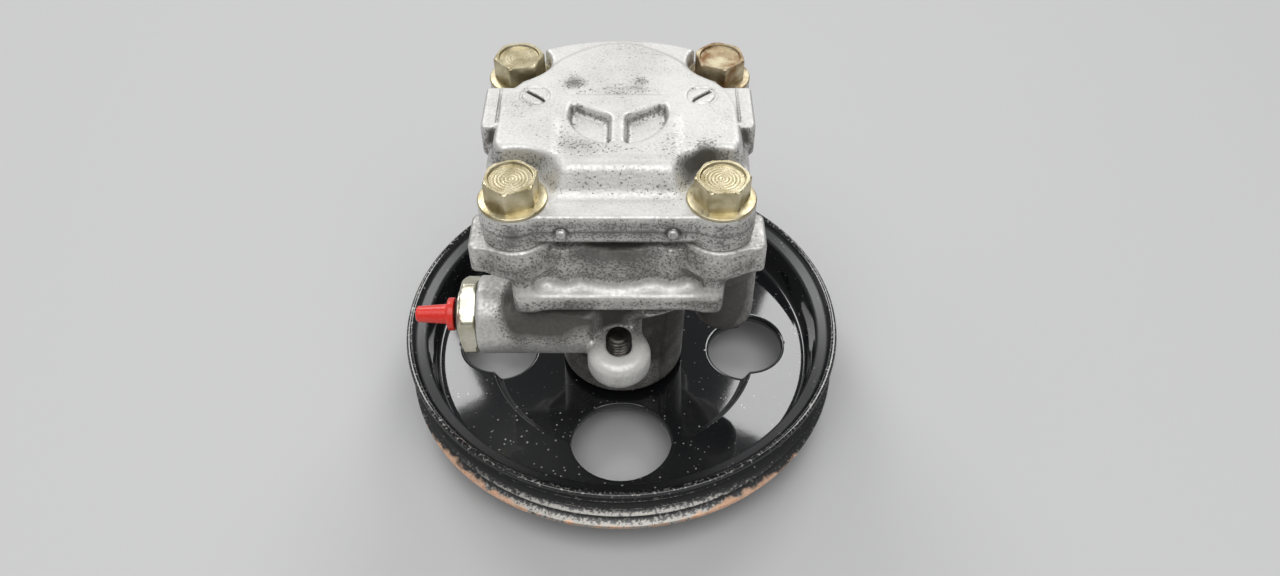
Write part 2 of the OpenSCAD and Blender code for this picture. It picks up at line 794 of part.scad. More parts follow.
// Ribbed relief in the middle of the plateau
module pocket() {
    difference() {
        translate([0, 0, z_top - pocket_depth]) cylinder(r = pocket_r, h = pocket_depth + 1);
        for (a = [30, 150, 270]) rotate(a) translate([0, -pocket_rib / 2, z_top - pocket_depth - 1])
            cube([pocket_r + 2, pocket_rib, pocket_depth + 3]);
        translate([0, 0, z_top - pocket_depth - 1]) rotate(30) linear_extrude(pocket_depth + 3)
            polygon([[0, 0], [30, 0], [15, 26], [-15, 26]]);
    }
    translate([0, 0, z_top - 0.9]) difference() {
        intersection() {
            cylinder(r = pocket_r, h = 3);
            translate([-10, 6, 0]) cube([20, 20, 3]);
        }
        translate([0, -8, -1]) cylinder(r = pocket_r + 4.6, h = 5);
    }
}

module rear_cover() {
    color([0.72, 0.71, 0.69])
    difference() {
        union() {
            translate([0, 0, z_mate + cover_gap]) linear_extrude(cover_t - cover_gap) cover_plan();
            translate([0, 0, z_mate]) cylinder(r = body_r - 0.6, h = cover_t);
            at_bolts() translate([0, 0, z_mate]) cylinder(r = cover_corner_r, h = cover_t);
            plateau();
            for (s = [-1, 1])
                translate([s * 13.4, -bolt_front_y - cover_corner_r + 2.8, z_mate + cover_gap + 2.4])
                    rotate([90, 0, 0]) cylinder(d = 2.7, h = 1.7, $fn = 32);
        }
        at_bolts() translate([0, 0, z_mate - 1]) cylinder(d = bolt_d + 0.6, h = cover_t + 2);
        translate([0, 0, z_mate - 1]) cylinder(r = seat_r + 2.2, h = shaft_tip - z_mate + 2);
        translate([0, 0, z_mate - 1]) {
            for (a = [0, 180]) rotate(a) {
                translate([dowel_at, 0, 0]) cylinder(d = dowel_d + 2 * seat_gap, h = 4);
                rotate(-45) kidney(rotor_r - port_in, rotor_r + 1, port_sweep, 4);
            }
        }
        pocket();
        for (s = [-1, 1]) translate([s * 21.6, 7.5, z_top - 0.4]) {
            ring(3.9, 3.1, 2);
            rotate(s * 40) translate([-3.1, -0.45, 0]) cube([6.2, 0.9, 2]);
        }
    }
}

// One flanged bolt with a dished head, standing on its seat at z = 0
module flange_bolt() {
    flange_h = 1.2;
    difference() {
        union() {
            rotate_extrude() polygon([
                [0, -cover_t - bolt_depth],
                [bolt_root_d / 2 - 0.6, -cover_t - bolt_depth],
                [bolt_root_d / 2, -cover_t - bolt_depth + 0.6],
                [bolt_root_d / 2, -cover_t],
                [bolt_d / 2, -cover_t + 0.7],
                [bolt_d / 2, 0],
                [bolt_flange_d / 2 - 0.2, 0],
                [bolt_flange_d / 2, flange_h / 2],
                [bolt_flange_d / 2 - 0.3, flange_h],
                [bolt_af / 2, flange_h + 1.2],
                [0, flange_h + 1.2]
            ]);
            intersection() {
                cylinder(d = bolt_af / cos(30), h = bolt_head_h, $fn = 6);
                cylinder(
                    d1 = bolt_af - 0.4 + 3.4 * bolt_head_h,
                    d2 = bolt_af - 0.4,
                    h = bolt_head_h
                );
            }
        }
        translate([0, 0, bolt_head_h - 0.6]) cylinder(d1 = bolt_af - 1.8, d2 = bolt_af - 0.8, h = 0.7);
    }
}

module cover_bolts() {
    color([0.66, 0.58, 0.36])
    at_bolts() translate([0, 0, z_seat]) rotate(bolt_turn[$bolt]) flange_bolt();
}

module valve_spool() {
    color([0.55, 0.55, 0.57])
    translate([x_spool, -barrel_y, z_barrel]) rotate([0, 90, 0]) difference() {
        rotate_extrude() polygon([
            [0, 0],
            [spool_d / 2 - run_gap, 0],
            [spool_d / 2 - run_gap, 4],
            [spool_d / 2 - 1.4, 4],
            [spool_d / 2 - 1.4, 7],
            [spool_d / 2 - run_gap, 7],
            [spool_d / 2 - run_gap, spool_len - 3],
            [spool_d / 2 - 2, spool_len - 1],
            [spool_d / 2 - 2, spool_len],
            [0, spool_len]
        ]);
        translate([0, 0, -1]) cylinder(r = spring_r + spring_wire_d / 2 + 0.2, h = 7);
    }
}

// Wire coiled round +Z from z = 0, with its ends closed
module coil(r, wire_r, length, turns) {
    sides = 8;
    steps = turns * 16;
    points = [
        for (i = [0 : steps]) for (k = [0 : sides - 1])
            let (a = i * 360 * turns / steps, b = k * 360 / sides, w = r + wire_r * cos(b))
            [w * cos(a), w * sin(a), wire_r + i * (length - 2 * wire_r) / steps + wire_r * sin(b)]
    ];
    faces = concat(
        [[for (k = [0 : sides - 1]) k]],
        [
            for (i = [0 : steps - 1]) for (k = [0 : sides - 1])
                let (n = (k + 1) % sides)
                [i * sides + k, (i + 1) * sides + k, (i + 1) * sides + n, i * sides + n]
        ],
        [[for (k = [sides - 1 : -1 : 0]) steps * sides + k]]
    );
    polyhedron(points, faces);
}

module valve_spring() {
    color([0.4, 0.4, 0.42])
    translate([x_plug_end + 0.1, -barrel_y, z_barrel]) rotate([0, 90, 0])
    coil(spring_r, spring_wire_d / 2, x_spool + 6 - x_plug_end - 0.2, spring_turns);
}

module pressure_switch() {
    color([0.62, 0.58, 0.4])
    translate([x_mouth, -barrel_y, z_barrel]) rotate([0, 90, 0]) difference() {
        union() {
            translate([0, 0, -switch_hex_h]) rotate(10) intersection() {
                cylinder(d = switch_af / cos(30), h = switch_hex_h, $fn = 6);
                cylinder(d1 = switch_af + 0.4, d2 = switch_af + 0.4 + 4 * switch_hex_h, h = switch_hex_h);
            }
            cylinder(d = switch_thread_d, h = switch_thread_len);
        }
        translate([0, 0, -switch_hex_h - 1]) cylinder(d = 9.2, h = 3.4);
        translate([0, 0, -switch_hex_h - 1]) cylinder(d = terminal_d + 2 * seat_gap, h = 5);
        translate([0, 0, switch_thread_len - 4]) cylinder(d = 5, h = 5);
    }
}

module switch_seal() {
    color([0.08, 0.08, 0.08])
    translate([x_mouth + 0.6, -barrel_y, z_barrel]) rotate([0, 90, 0]) rotate_extrude()
        translate([switch_thread_d / 2 + 0.75, 0]) circle(d = 1.15, $fn = 32);
}

module switch_insulator() {
    color([0.1, 0.09, 0.08])
    translate([x_boot, -barrel_y, z_barrel]) rotate([0, 90, 0])
    ring(4.6 - seat_gap, terminal_d / 2 + seat_gap, x_hex + 2.4 - x_boot);
}

module switch_terminal() {
    color([0.75, 0.58, 0.25])
    translate([0, -barrel_y, z_barrel]) rotate([0, 90, 0]) rotate_extrude() polygon([
        [0, x_hex + 4],
        [terminal_d / 2, x_hex + 4],
        [terminal_d / 2, x_boot],
        [terminal_d / 2 + 0.6, x_boot],
        [terminal_d / 2 + 0.6, x_cap],
        [terminal_d / 2, x_cap],
        [terminal_d / 2, x_cap_tip + 2.4],
        [terminal_d / 2 - 0.5, x_cap_tip + 1.8],
        [0, x_cap_tip + 1.8]
    ]);
}

module terminal_cap() {
    color([0.7, 0.05, 0.06])
    translate([0, -barrel_y, z_barrel]) rotate([0, 90, 0]) rotate_extrude() polygon([
        [terminal_d / 2 + run_gap, x_cap - 0.02],
        [cap_collar_d / 2, x_cap - 0.02],
        [cap_collar_d / 2, x_cap - 1.9],
        [cap_root_d / 2, x_cap - 1.9],
        [cap_tip_d / 2, x_cap_tip + 0.5],
        [cap_tip_d / 2 - 0.5, x_cap_tip],
        [0, x_cap_tip],
        [0, x_cap_tip + 1.4],
        [terminal_d / 2 + run_gap, x_cap_tip + 1.4]
    ]);
}

pulley();
pulley_hub();
pulley_nut();
spring_washer();
pulley_key();
drive_shaft();
bearing_inner_ring();
bearing_outer_ring();
bearing_balls();
bearing_cage();
bearing_clip();
shaft_seal();
shaft_bush();
pump_body();
mounting_stud();
side_plate();
side_plate_seal();
cam_ring();
dowel_pins();
rotor();
vanes();
rotor_clip();
cover_seal();
rear_cover();
cover_bolts();
valve_spool();
valve_spring();
pressure_switch();
switch_seal();
switch_insulator();
switch_terminal();
terminal_cap();
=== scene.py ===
"""Looks of a belt-driven steering pump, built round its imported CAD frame.

Castings are implicit surfaces, the pulley is a revolved rim round a pierced web,
and fasteners, switch and cap are profiles carried round their own axes.
"""

import math

import bmesh
import bpy
import numpy as np
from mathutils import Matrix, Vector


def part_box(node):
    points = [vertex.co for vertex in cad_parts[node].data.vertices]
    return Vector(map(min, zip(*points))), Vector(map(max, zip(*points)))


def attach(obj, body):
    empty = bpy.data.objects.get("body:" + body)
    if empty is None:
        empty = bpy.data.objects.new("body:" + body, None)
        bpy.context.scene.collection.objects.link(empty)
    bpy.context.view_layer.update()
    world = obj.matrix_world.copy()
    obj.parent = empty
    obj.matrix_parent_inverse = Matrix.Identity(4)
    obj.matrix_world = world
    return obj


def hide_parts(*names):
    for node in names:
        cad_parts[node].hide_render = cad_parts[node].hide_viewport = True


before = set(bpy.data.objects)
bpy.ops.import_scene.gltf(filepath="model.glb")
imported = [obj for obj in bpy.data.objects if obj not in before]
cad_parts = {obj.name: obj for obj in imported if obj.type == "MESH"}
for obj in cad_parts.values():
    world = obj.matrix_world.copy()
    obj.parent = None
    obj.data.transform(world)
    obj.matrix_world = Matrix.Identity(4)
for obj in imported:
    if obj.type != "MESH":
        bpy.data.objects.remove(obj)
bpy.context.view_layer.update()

import openvdb
from bpy.props import FloatProperty, FloatVectorProperty, PointerProperty, StringProperty
from mathutils import Matrix, Vector

bl_info = {
    "name": "Steering pump looks",
    "version": (1, 0, 0),
    "blender": (4, 5, 0),
    "location": "View3D > Sidebar > Pump",
    "description": "Castings, painted pulley, plated fasteners and switch of a steering pump",
    "category": "Object",
}

MM = 0.001


def box_mm(node):
    """Lowest and highest corner of a CAD node, in millimetres."""
    low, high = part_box(node)
    return np.array(low) / MM, np.array(high) / MM


BODY_LOW = box_mm("pump_body")[0]
COVER_LOW, COVER_HIGH = box_mm("rear_cover")
STUD_LOW, STUD_HIGH = box_mm("mounting_stud")
SWITCH_LOW, SWITCH_HIGH = box_mm("pressure_switch")
CAP_LOW, CAP_HIGH = box_mm("terminal_cap")

# Heights and places shared by several pieces, in millimetres
Z_LIP = box_mm("pulley")[1][2]
Z_MATE = COVER_LOW[2]
Z_TOP = COVER_HIGH[2]
Z_SEAT = Z_TOP - 6.5
Z_HEAD = box_mm("cover_bolts")[1][2]
Z_PARTING = Z_MATE + 5.2
Z_NECK = BODY_LOW[2]
VALVE_Y, VALVE_Z = -25.0, (SWITCH_LOW[2] + SWITCH_HIGH[2]) / 2
X_MOUTH = BODY_LOW[0]
LUG_REACH, Z_LUG, LUG_HEIGHT = 37.0, Z_MATE - 40, 8.4
INLET_X, INLET_Z = 12.0, Z_MATE - 14.5
PORT_Y, PORT_Z = -4.0, VALVE_Z - 4
BOLTS = np.array([(-25.0, -26.0), (25.0, -26.0), (-27.0, 24.5), (27.0, 24.5)])
BOLT_TURNS = (22, 2, 12, 40)


# Surfaces


def ramp(value, start, end):
    """Straight rise from 0 at start to 1 at end, level beyond both."""
    return np.clip((value - start) / (end - start), 0, 1)


def grid_quads(rows, columns, closed=True):
    """Quads of a grid whose last column meets its first one if it is closed."""
    last = columns if closed else columns - 1
    i, j = np.meshgrid(np.arange(rows - 1) * columns, np.arange(last), indexing="ij")
    j2 = (j + 1) % columns
    return np.stack([i + j, i + j2, i + columns + j2, i + columns + j], -1).reshape(-1, 4)


def rounded(corners, steps=4):
    """Polyline through (r, z, radius) corners, each corner turned into an arc of that radius.

    An arc is the quadratic curve between the two points that lie on the corner's sides.
    """
    corners = np.asarray(corners, float)
    path = [corners[:1, :2]]
    for before, here, after in zip(corners[:-2], corners[1:-1], corners[2:]):
        a, p, b = before[:2], here[:2], after[:2]
        la, lb = np.linalg.norm(a - p), np.linalg.norm(b - p)
        reach = min(here[2], 0.48 * la, 0.48 * lb)
        start, end = p + (a - p) / la * reach, p + (b - p) / lb * reach
        t = np.linspace(0, 1, steps if reach > 1e-6 else 1)[:, None]
        path.append((1 - t) ** 2 * start + 2 * t * (1 - t) * p + t**2 * end)
    path.append(corners[-1:, :2])
    return np.concatenate(path)


def revolved(profile, columns, radius=None):
    """A profile of (r, z) turned round Z; radius(angle, r, z) may bend the circles."""
    angle = np.arange(columns) * 2 * np.pi / columns
    r, z = profile[:, :1], profile[:, 1:2] + 0 * angle
    r = r + 0 * angle if radius is None else radius(angle[None], r, z)
    points = np.stack([r * np.cos(angle), r * np.sin(angle), z], -1).reshape(-1, 3)
    return points, grid_quads(len(profile), columns)


def hexagon(angle, across, sharpness=26):
    """Radius of a hexagon with soft corners: its three widths joined in a power sum."""
    sides = np.radians([0, 60, 120])
    total = sum(np.abs(np.cos(angle - s)) ** sharpness for s in sides)
    return across / 2 * total ** (-1 / sharpness)


def along_x(points, x0):
    """Turns a piece from +Z to +X and sets it on the valve axis."""
    x, y, z = points.T
    return np.stack([x0 + z, VALVE_Y + y, VALVE_Z - x], -1)


def new_mesh(name, points, quads, triangles=None):
    """Mesh in metres from points in millimetres, four-sided faces and perhaps triangles."""
    mesh = bpy.data.meshes.new(name)
    faces = [quads] if triangles is None or not len(triangles) else [quads, triangles]
    loops = np.concatenate([f.reshape(-1) for f in faces]).astype(np.int32)
    sizes = np.concatenate([np.full(len(f), f.shape[1]) for f in faces])
    mesh.vertices.add(len(points))
    mesh.vertices.foreach_set("co", (points * MM).astype(np.float32).ravel())
    mesh.loops.add(len(loops))
    mesh.loops.foreach_set("vertex_index", loops)
    mesh.polygons.add(len(sizes))
    starts = np.concatenate([[0], np.cumsum(sizes)[:-1]]).astype(np.int32)
    mesh.polygons.foreach_set("loop_start", starts)
    mesh.update(calc_edges=True)
    mesh.validate()
    return mesh


def tidy_mesh(mesh, gap=1e-3):
    """Merges points closer than gap millimetres and points every face outwards."""
    work = bmesh.new()
    work.from_mesh(mesh)
    bmesh.ops.remove_doubles(work, verts=work.verts, dist=gap * MM)
    bmesh.ops.recalc_face_normals(work, faces=work.faces)
    work.to_mesh(mesh)
    work.free()
    return mesh


def add_piece(name, mesh, material, body, slot, replaced=(), sharp=math.radians(40)):
    """Object at the origin that rides on a CAD body and stands for its nodes."""
    piece = bpy.data.objects.new(name, mesh)
    bpy.context.scene.collection.objects.link(piece)
    mesh.materials.clear()
    mesh.materials.append(material)
    mesh.polygons.foreach_set("use_smooth", np.ones(len(mesh.polygons), bool))
    if sharp is not None:
        mesh.set_sharp_from_angle(angle=sharp)
    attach(piece, body)
    if replaced:
        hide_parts(*replaced)
    return piece


def store_values(mesh, values):
    """Keeps one named number per point on the mesh for its material to read."""
    for label, value in values.items():
        store = mesh.attributes.new(label, "FLOAT", "POINT")
        store.data.foreach_set("value", value.astype(np.float32))


def joined(parts):
    """Several (points, quads) shapes as one list of points and one of quads."""
    points, quads, count = [], [], 0
    for p, q in parts:
        points.append(p)
        quads.append(q + count)
        count += len(p)
    return np.concatenate(points), np.concatenate(quads)


# Implicit solids: distances in millimetres, negative inside


def space(low, high, pitch):
    """Axes of a grid of points from low to high, shaped to broadcast against each other."""
    axes = [np.arange(a, b + pitch, pitch, dtype=np.float32) for a, b in zip(low, high)]
    return axes[0][:, None, None], axes[1][None, :, None], axes[2][None, None, :]


def prism(plan, along, start, end, edge=0.0):
    """A plan distance carried from start to end, with its end edges rounded by edge."""
    a = plan + edge
    b = np.abs(along - (start + end) / 2) - (end - start) / 2 + edge
    outside = np.hypot(np.maximum(a, 0), np.maximum(b, 0))
    return outside + np.minimum(np.maximum(a, b), 0) - edge


def rectangle(x, y, x0, x1, y0, y1, corner=0.0):
    """Plan distance to a rectangle with round corners."""
    a = np.abs(x - (x0 + x1) / 2) - (x1 - x0) / 2 + corner
    b = np.abs(y - (y0 + y1) / 2) - (y1 - y0) / 2 + corner
    outside = np.hypot(np.maximum(a, 0), np.maximum(b, 0))
    return outside + np.minimum(np.maximum(a, b), 0) - corner


def disc(x, y, cx, cy, r):
    """Plan distance to a circle."""
    return np.hypot(x - cx, y - cy) - r


def bar(x, y, angle, reach, half):
    """Plan distance to a bar of that half width from the middle out along an angle."""
    c, s = math.cos(angle), math.sin(angle)
    return rectangle(x * c + y * s, y * c - x * s, 0, reach, -half, half)


def join(a, b, fillet=0.0):
    """Union of two solids with a fillet of about that size where they meet."""
    if fillet <= 0:
        return np.minimum(a, b)
    h = np.maximum(fillet - np.abs(a - b), 0) / fillet
    return np.minimum(a, b) - h * h * fillet / 4


def cut(a, b, fillet=0.0):
    """Solid a without solid b, with the new edges softened."""
    return -join(-a, b, fillet)


def sample(field, low, pitch, points):
    """Field values at any points, by linear mixing of the eight grid values around each."""
    spot = np.clip((points - low) / pitch, 0, np.array(field.shape) - 1.001)
    i = spot.astype(int)
    f = (spot - i).astype(np.float32)
    value = np.zeros(len(points), np.float32)
    for corner in np.ndindex(2, 2, 2):
        weight = np.prod(np.where(corner, f, 1 - f), 1)
        value += weight * field[tuple((i + corner).T)]
    return value


def slope(field, low, pitch, points):
    """Unit direction in which the field grows at the points."""
    step = np.eye(3) * pitch
    g = np.stack(
        [
            sample(field, low, pitch, points + s) - sample(field, low, pitch, points - s)
            for s in step
        ],
        -1,
    )
    return g / np.maximum(np.linalg.norm(g, axis=1, keepdims=True), 1e-6)


def implicit_mesh(name, field, low, pitch, soil):
    """Surface where the field is zero, with the dirt and painted shade of each point and how edged
    it lies.

    A point is hollow near 1 in inner corners and edged near 1 on outer edges; both come
    from the field a little way off the surface. soil(points, out, hollow) gives the
    dirt together with painted shade and painted highlights.
    """
    low = np.asarray(low, float)
    field = np.ascontiguousarray(field, np.float32)
    band = 4 * pitch
    grid = openvdb.FloatGrid(band)
    grid.copyFromArray(np.clip(field, -band, band))
    points, triangles, quads = grid.convertToPolygons(0.0, 0.0)
    points = low + points.astype(float) * pitch
    # a few steps along the slope settle the points on the surface
    for _ in range(3):
        out = slope(field, low, pitch, points)
        points -= out * sample(field, low, pitch, points)[:, None] * 0.8
    a, b, c = (points[quads[:, k]] for k in (0, 1, 2))
    if np.einsum("ij,ij->i", a, np.cross(b, c)).sum() < 0:
        quads, triangles = quads[:, ::-1], triangles[:, ::-1]
    mesh = new_mesh(name, points, quads.astype(np.int64), triangles.astype(np.int64))
    out = slope(field, low, pitch, points)
    reach = 2.4
    hollow = 1 - sample(field, low, pitch, points + out * reach) / reach
    edged = 1 + sample(field, low, pitch, points - out * reach) / reach
    soiled = soil(points, out, np.clip(hollow, 0, 1))
    store_values(mesh, {"soil": np.clip(soiled, -1, 1.5), "edge": np.clip(edged, -1, 1.5)})
    return mesh


# Materials


def linear(code):
    """Linear RGBA of an sRGB hex colour."""
    srgb = np.array([int(code[i : i + 2], 16) for i in (1, 3, 5)]) / 255
    rgb = np.where(srgb <= 0.04045, srgb / 12.92, ((srgb + 0.055) / 1.055) ** 2.4)
    return (*rgb.tolist(), 1.0)


def per_metre(size_mm):
    """Scale of a pattern whose features are that many millimetres apart."""
    return 1 / (size_mm * MM)


def add_node(tree, kind, out, inputs=None, **settings):
    """Adds a node, sets its properties, fills or links its inputs and returns an output."""
    made = tree.nodes.new("ShaderNode" + kind)
    for name, value in settings.items():
        setattr(made, name, value)
    for key, value in (inputs or {}).items():
        if isinstance(value, bpy.types.NodeSocket):
            tree.links.new(value, made.inputs[key])
        else:
            made.inputs[key].default_value = value
    return None if out is None else made.outputs[out]


def new_material(name, build):
    """Material whose tree is filled by build(tree, place), which returns a shader."""
    material = bpy.data.materials.new(name)
    material.use_nodes = True
    tree = material.node_tree
    tree.nodes.clear()
    place = add_node(tree, "TexCoord", "Object")
    add_node(tree, "OutputMaterial", None, {"Surface": build(tree, place)})
    return material


def cast_aluminium(clean, dull, soil, grain_mm):
    """Sand-textured die casting: pale satin metal, peppered and dark where oil and dust stay and
    where shade is painted, whiter where a highlight is painted.

    Its grain and pepper are drawn coarser than they are, so that they show.
    """

    def build(tree, place):
        cloud, fine, pepper = (
            add_node(
                tree, "TexNoise", "Fac", {"Vector": place, "Scale": per_metre(mm), "Detail": detail}
            )
            for mm, detail in ((11, 4.0), (grain_mm, 3.0), (0.6, 2.0))
        )
        soiled, edge = (
            add_node(tree, "Attribute", "Fac", attribute_name=label) for label in ("soil", "edge")
        )
        tint = add_node(tree, "Math", 0, {0: fine, 1: 0.8, 2: cloud}, operation="MULTIPLY_ADD")
        tint = add_node(tree, "MapRange", "Result", {"Value": tint, 1: 0.72, 2: 1.12})
        metal = add_node(
            tree, "Mix", 2, {0: tint, 6: linear(clean), 7: linear(dull)}, data_type="RGBA"
        )
        # painted highlight: below zero the soil value turns the metal whiter and less mirror-like
        painted_highlight = add_node(tree, "MapRange", "Result", {"Value": soiled, 1: 0.0, 2: -0.7, 4: 0.7})
        metal = add_node(
            tree, "Mix", 2, {0: painted_highlight, 6: metal, 7: linear("#EFEEEA")}, data_type="RGBA"
        )
        shine = add_node(tree, "MapRange", "Result", {"Value": painted_highlight, 3: 0.66, 4: 0.2})
        # dots grow together as the soil and painted shade get thicker, and worn edges stay clean
        amount = add_node(tree, "Math", 0, {0: edge, 1: -0.45, 2: soiled}, operation="MULTIPLY_ADD")
        thick = add_node(tree, "Math", 0, {0: cloud, 1: 0.9, 2: amount}, operation="MULTIPLY_ADD")
        dots = add_node(tree, "Math", 0, {0: thick, 1: 0.38, 2: pepper}, operation="MULTIPLY_ADD")
        dots = add_node(tree, "MapRange", "Result", {"Value": dots, 1: 0.85, 2: 0.95, 4: 0.75})
        film = add_node(tree, "MapRange", "Result", {"Value": thick, 1: 0.75, 2: 1.5, 4: 0.9})
        share = add_node(tree, "Math", 0, {0: dots, 1: film}, operation="MAXIMUM")
        colour = add_node(tree, "Mix", 2, {0: share, 6: metal, 7: linear(soil)}, data_type="RGBA")
        metallic = {"Value": share, 3: shine, 4: 0.05}
        span = {"Value": fine, 1: 0.3, 2: 0.7, 3: 0.4, 4: 0.58}
        skin = {"Height": fine, "Distance": 0.16 * MM, "Strength": 0.6}
        sockets = {
            "Base Color": colour,
            "Metallic": add_node(tree, "MapRange", "Result", metallic),
            "Roughness": add_node(tree, "MapRange", "Result", span),
            "Normal": add_node(tree, "Bump", "Normal", skin),
        }
        return add_node(tree, "BsdfPrincipled", "BSDF", sockets)

    return build


def gloss_paint(paint, dust, bare, rust):
    """Baked enamel on pressed steel: mirror gloss with dust, worn at its crests with bare crests
    and flanks at the front as painted highlights, rust below.
    """

    def build(tree, place):
        speck = add_node(tree, "TexVoronoi", "Distance", {"Vector": place, "Scale": per_metre(1.8)})
        flake, fine = (
            add_node(
                tree, "TexNoise", "Fac", {"Vector": place, "Scale": per_metre(mm), "Detail": detail}
            )
            for mm, detail in ((3.4, 5.0), (0.9, 3.0))
        )
        # worn carries real wear together with the painted highlights on the front crests and flanks
        worn, rusted, dull, film = (
            add_node(tree, "Attribute", "Fac", attribute_name=label)
            for label in ("wear_and_highlight", "rust", "dull", "film")
        )
        # dust lies in specks, thicker where the film is, drawn coarser than it is so that it shows
        dots = add_node(tree, "MapRange", "Result", {"Value": speck, 1: 0.2, 2: 0.1, 4: 0.85})
        dusty = add_node(tree, "Math", 0, {0: film, 1: 0.16, 2: flake}, operation="MULTIPLY_ADD")
        dusty = add_node(tree, "MapRange", "Result", {"Value": dusty, 1: 0.5, 2: 0.66})
        dots = add_node(tree, "Math", 0, {0: dots, 1: dusty}, operation="MULTIPLY")
        dots = add_node(tree, "Math", 0, {0: film, 1: 0.05, 2: dots}, operation="MULTIPLY_ADD")
        # wear, painted highlights and rust break up along the noise, so their borders are ragged
        scuff_and_highlight = add_node(tree, "Math", 0, {0: worn, 1: 0.5, 2: fine}, operation="MULTIPLY_ADD")
        scuff_and_highlight = add_node(tree, "MapRange", "Result", {"Value": scuff_and_highlight, 1: 0.74, 2: 0.95})
        patch = add_node(tree, "Math", 0, {0: rusted, 1: flake}, operation="ADD")
        patch = add_node(tree, "MapRange", "Result", {"Value": patch, 1: 0.92, 2: 1.12})
        iron = add_node(
            tree, "Mix", 2, {0: fine, 6: linear(rust), 7: linear("#C98A5E")}, data_type="RGBA"
        )
        colour = add_node(
            tree, "Mix", 2, {0: dots, 6: linear(paint), 7: linear(dust)}, data_type="RGBA"
        )
        colour = add_node(tree, "Mix", 2, {0: scuff_and_highlight, 6: colour, 7: linear(bare)}, data_type="RGBA")
        colour = add_node(tree, "Mix", 2, {0: patch, 6: colour, 7: iron}, data_type="RGBA")
        matt = add_node(tree, "Math", 0, {0: scuff_and_highlight, 1: patch}, operation="MAXIMUM")
        matt = add_node(tree, "Math", 0, {0: matt, 1: 0.6}, operation="MULTIPLY")
        matt = add_node(tree, "Math", 0, {0: matt, 1: dull}, operation="MAXIMUM")
        span = {"Value": matt, 3: 0.05, 4: 0.8}
        skin = {"Height": flake, "Distance": 0.02 * MM, "Strength": 0.2}
        sockets = {
            "Base Color": colour,
            "Metallic": scuff_and_highlight,
            "Roughness": add_node(tree, "MapRange", "Result", span),
            "Normal": add_node(tree, "Bump", "Normal", skin),
            "IOR": 1.7,
        }
        return add_node(tree, "BsdfPrincipled", "BSDF", sockets)

    return build


def plated_steel(light, deep, rough, cloud_mm=5):
    """Plated or ground steel: metal whose tint clouds over a few millimetres."""

    def build(tree, place):
        cloud, fine = (
            add_node(
                tree, "TexNoise", "Fac", {"Vector": place, "Scale": per_metre(mm), "Detail": detail}
            )
            for mm, detail in ((cloud_mm, 4.0), (0.7, 3.0))
        )
        tint = add_node(tree, "MapRange", "Result", {"Value": cloud, 1: 0.35, 2: 0.68})
        span = {"Value": fine, 1: 0.3, 2: 0.7, 3: rough * 0.75, 4: rough * 1.25}
        skin = {"Height": fine, "Distance": 0.03 * MM, "Strength": 0.4}
        tints = {0: tint, 6: linear(light), 7: linear(deep)}
        sockets = {
            "Base Color": add_node(tree, "Mix", 2, tints, data_type="RGBA"),
            "Metallic": 1.0,
            "Roughness": add_node(tree, "MapRange", "Result", span),
            "Normal": add_node(tree, "Bump", "Normal", skin),
        }
        return add_node(tree, "BsdfPrincipled", "BSDF", sockets)

    return build


def moulded(light, deep, rough, glow=0.0):
    """Moulded rubber or plastic: one tint with a faint cloud, a fine skin and some inner glow."""

    def build(tree, place):
        cloud, fine = (
            add_node(
                tree, "TexNoise", "Fac", {"Vector": place, "Scale": per_metre(mm), "Detail": detail}
            )
            for mm, detail in ((4, 4.0), (0.9, 3.0))
        )
        span = {"Value": fine, 1: 0.3, 2: 0.7, 3: rough * 0.85, 4: rough * 1.15}
        skin = {"Height": fine, "Distance": 0.02 * MM, "Strength": 0.3}
        tints = {0: cloud, 6: linear(light), 7: linear(deep)}
        sockets = {
            "Base Color": add_node(tree, "Mix", 2, tints, data_type="RGBA"),
            "Roughness": add_node(tree, "MapRange", "Result", span),
            "Normal": add_node(tree, "Bump", "Normal", skin),
            "IOR": 1.5,
            "Subsurface Weight": glow,
            "Subsurface Radius": (2 * MM, 0.5 * MM, 0.4 * MM),
        }
        return add_node(tree, "BsdfPrincipled", "BSDF", sockets)

    return build


# Settings


class PulleyLook(bpy.types.PropertyGroup):
    """Finish of the pulley"""

    paint: StringProperty(name="Paint", description="Enamel colour", default="#161719")
    dust: StringProperty(name="Dust", description="Colour of dust specks", default="#B5B5B2")
    # the worn colour also paints the bare front crests and flanks as highlights
    bare: StringProperty(name="Worn", description="Colour of the worn lip", default="#B4B1AB")
    rust: StringProperty(name="Rust", description="Colour of the rust", default="#F0D2B8")


class CastingLook(bpy.types.PropertyGroup):
    """Finish and fineness of the castings"""

    body_pitch: FloatProperty(
        name="Body grid",
        description="Grid spacing of the body's surface",
        default=0.68 * MM,
        unit="LENGTH",
    )
    cover_pitch: FloatProperty(
        name="Cover grid",
        description="Grid spacing of the cover's surface",
        default=0.45 * MM,
        unit="LENGTH",
    )
    body_clean: StringProperty(name="Body", description="Clean body metal", default="#DAD9D5")
    body_dull: StringProperty(name="Dull body", description="Dull body metal", default="#AEADA9")
    cover_clean: StringProperty(name="Cover", description="Clean cover", default="#E1E0DD")
    cover_dull: StringProperty(name="Dull cover", description="Dull cover", default="#CECDC9")
    # this colour is both oil and dust and the painted shade in corners, beneath overhangs and on
    # upright faces
    soil: StringProperty(name="Soil", description="Oil and dust", default="#37332C")


class FastenerLook(bpy.types.PropertyGroup):
    """Finish of bolts, switch and cap"""

    zinc: StringProperty(name="Zinc", description="Yellow passivated zinc", default="#D9CFB0")
    zinc_deep: StringProperty(name="Deep zinc", description="Darker zinc", default="#A89C78")
    switch: StringProperty(name="Switch", description="Switch plating", default="#DAD7C6")
    cap: StringProperty(name="Cap", description="Cap plastic", default="#F04438")


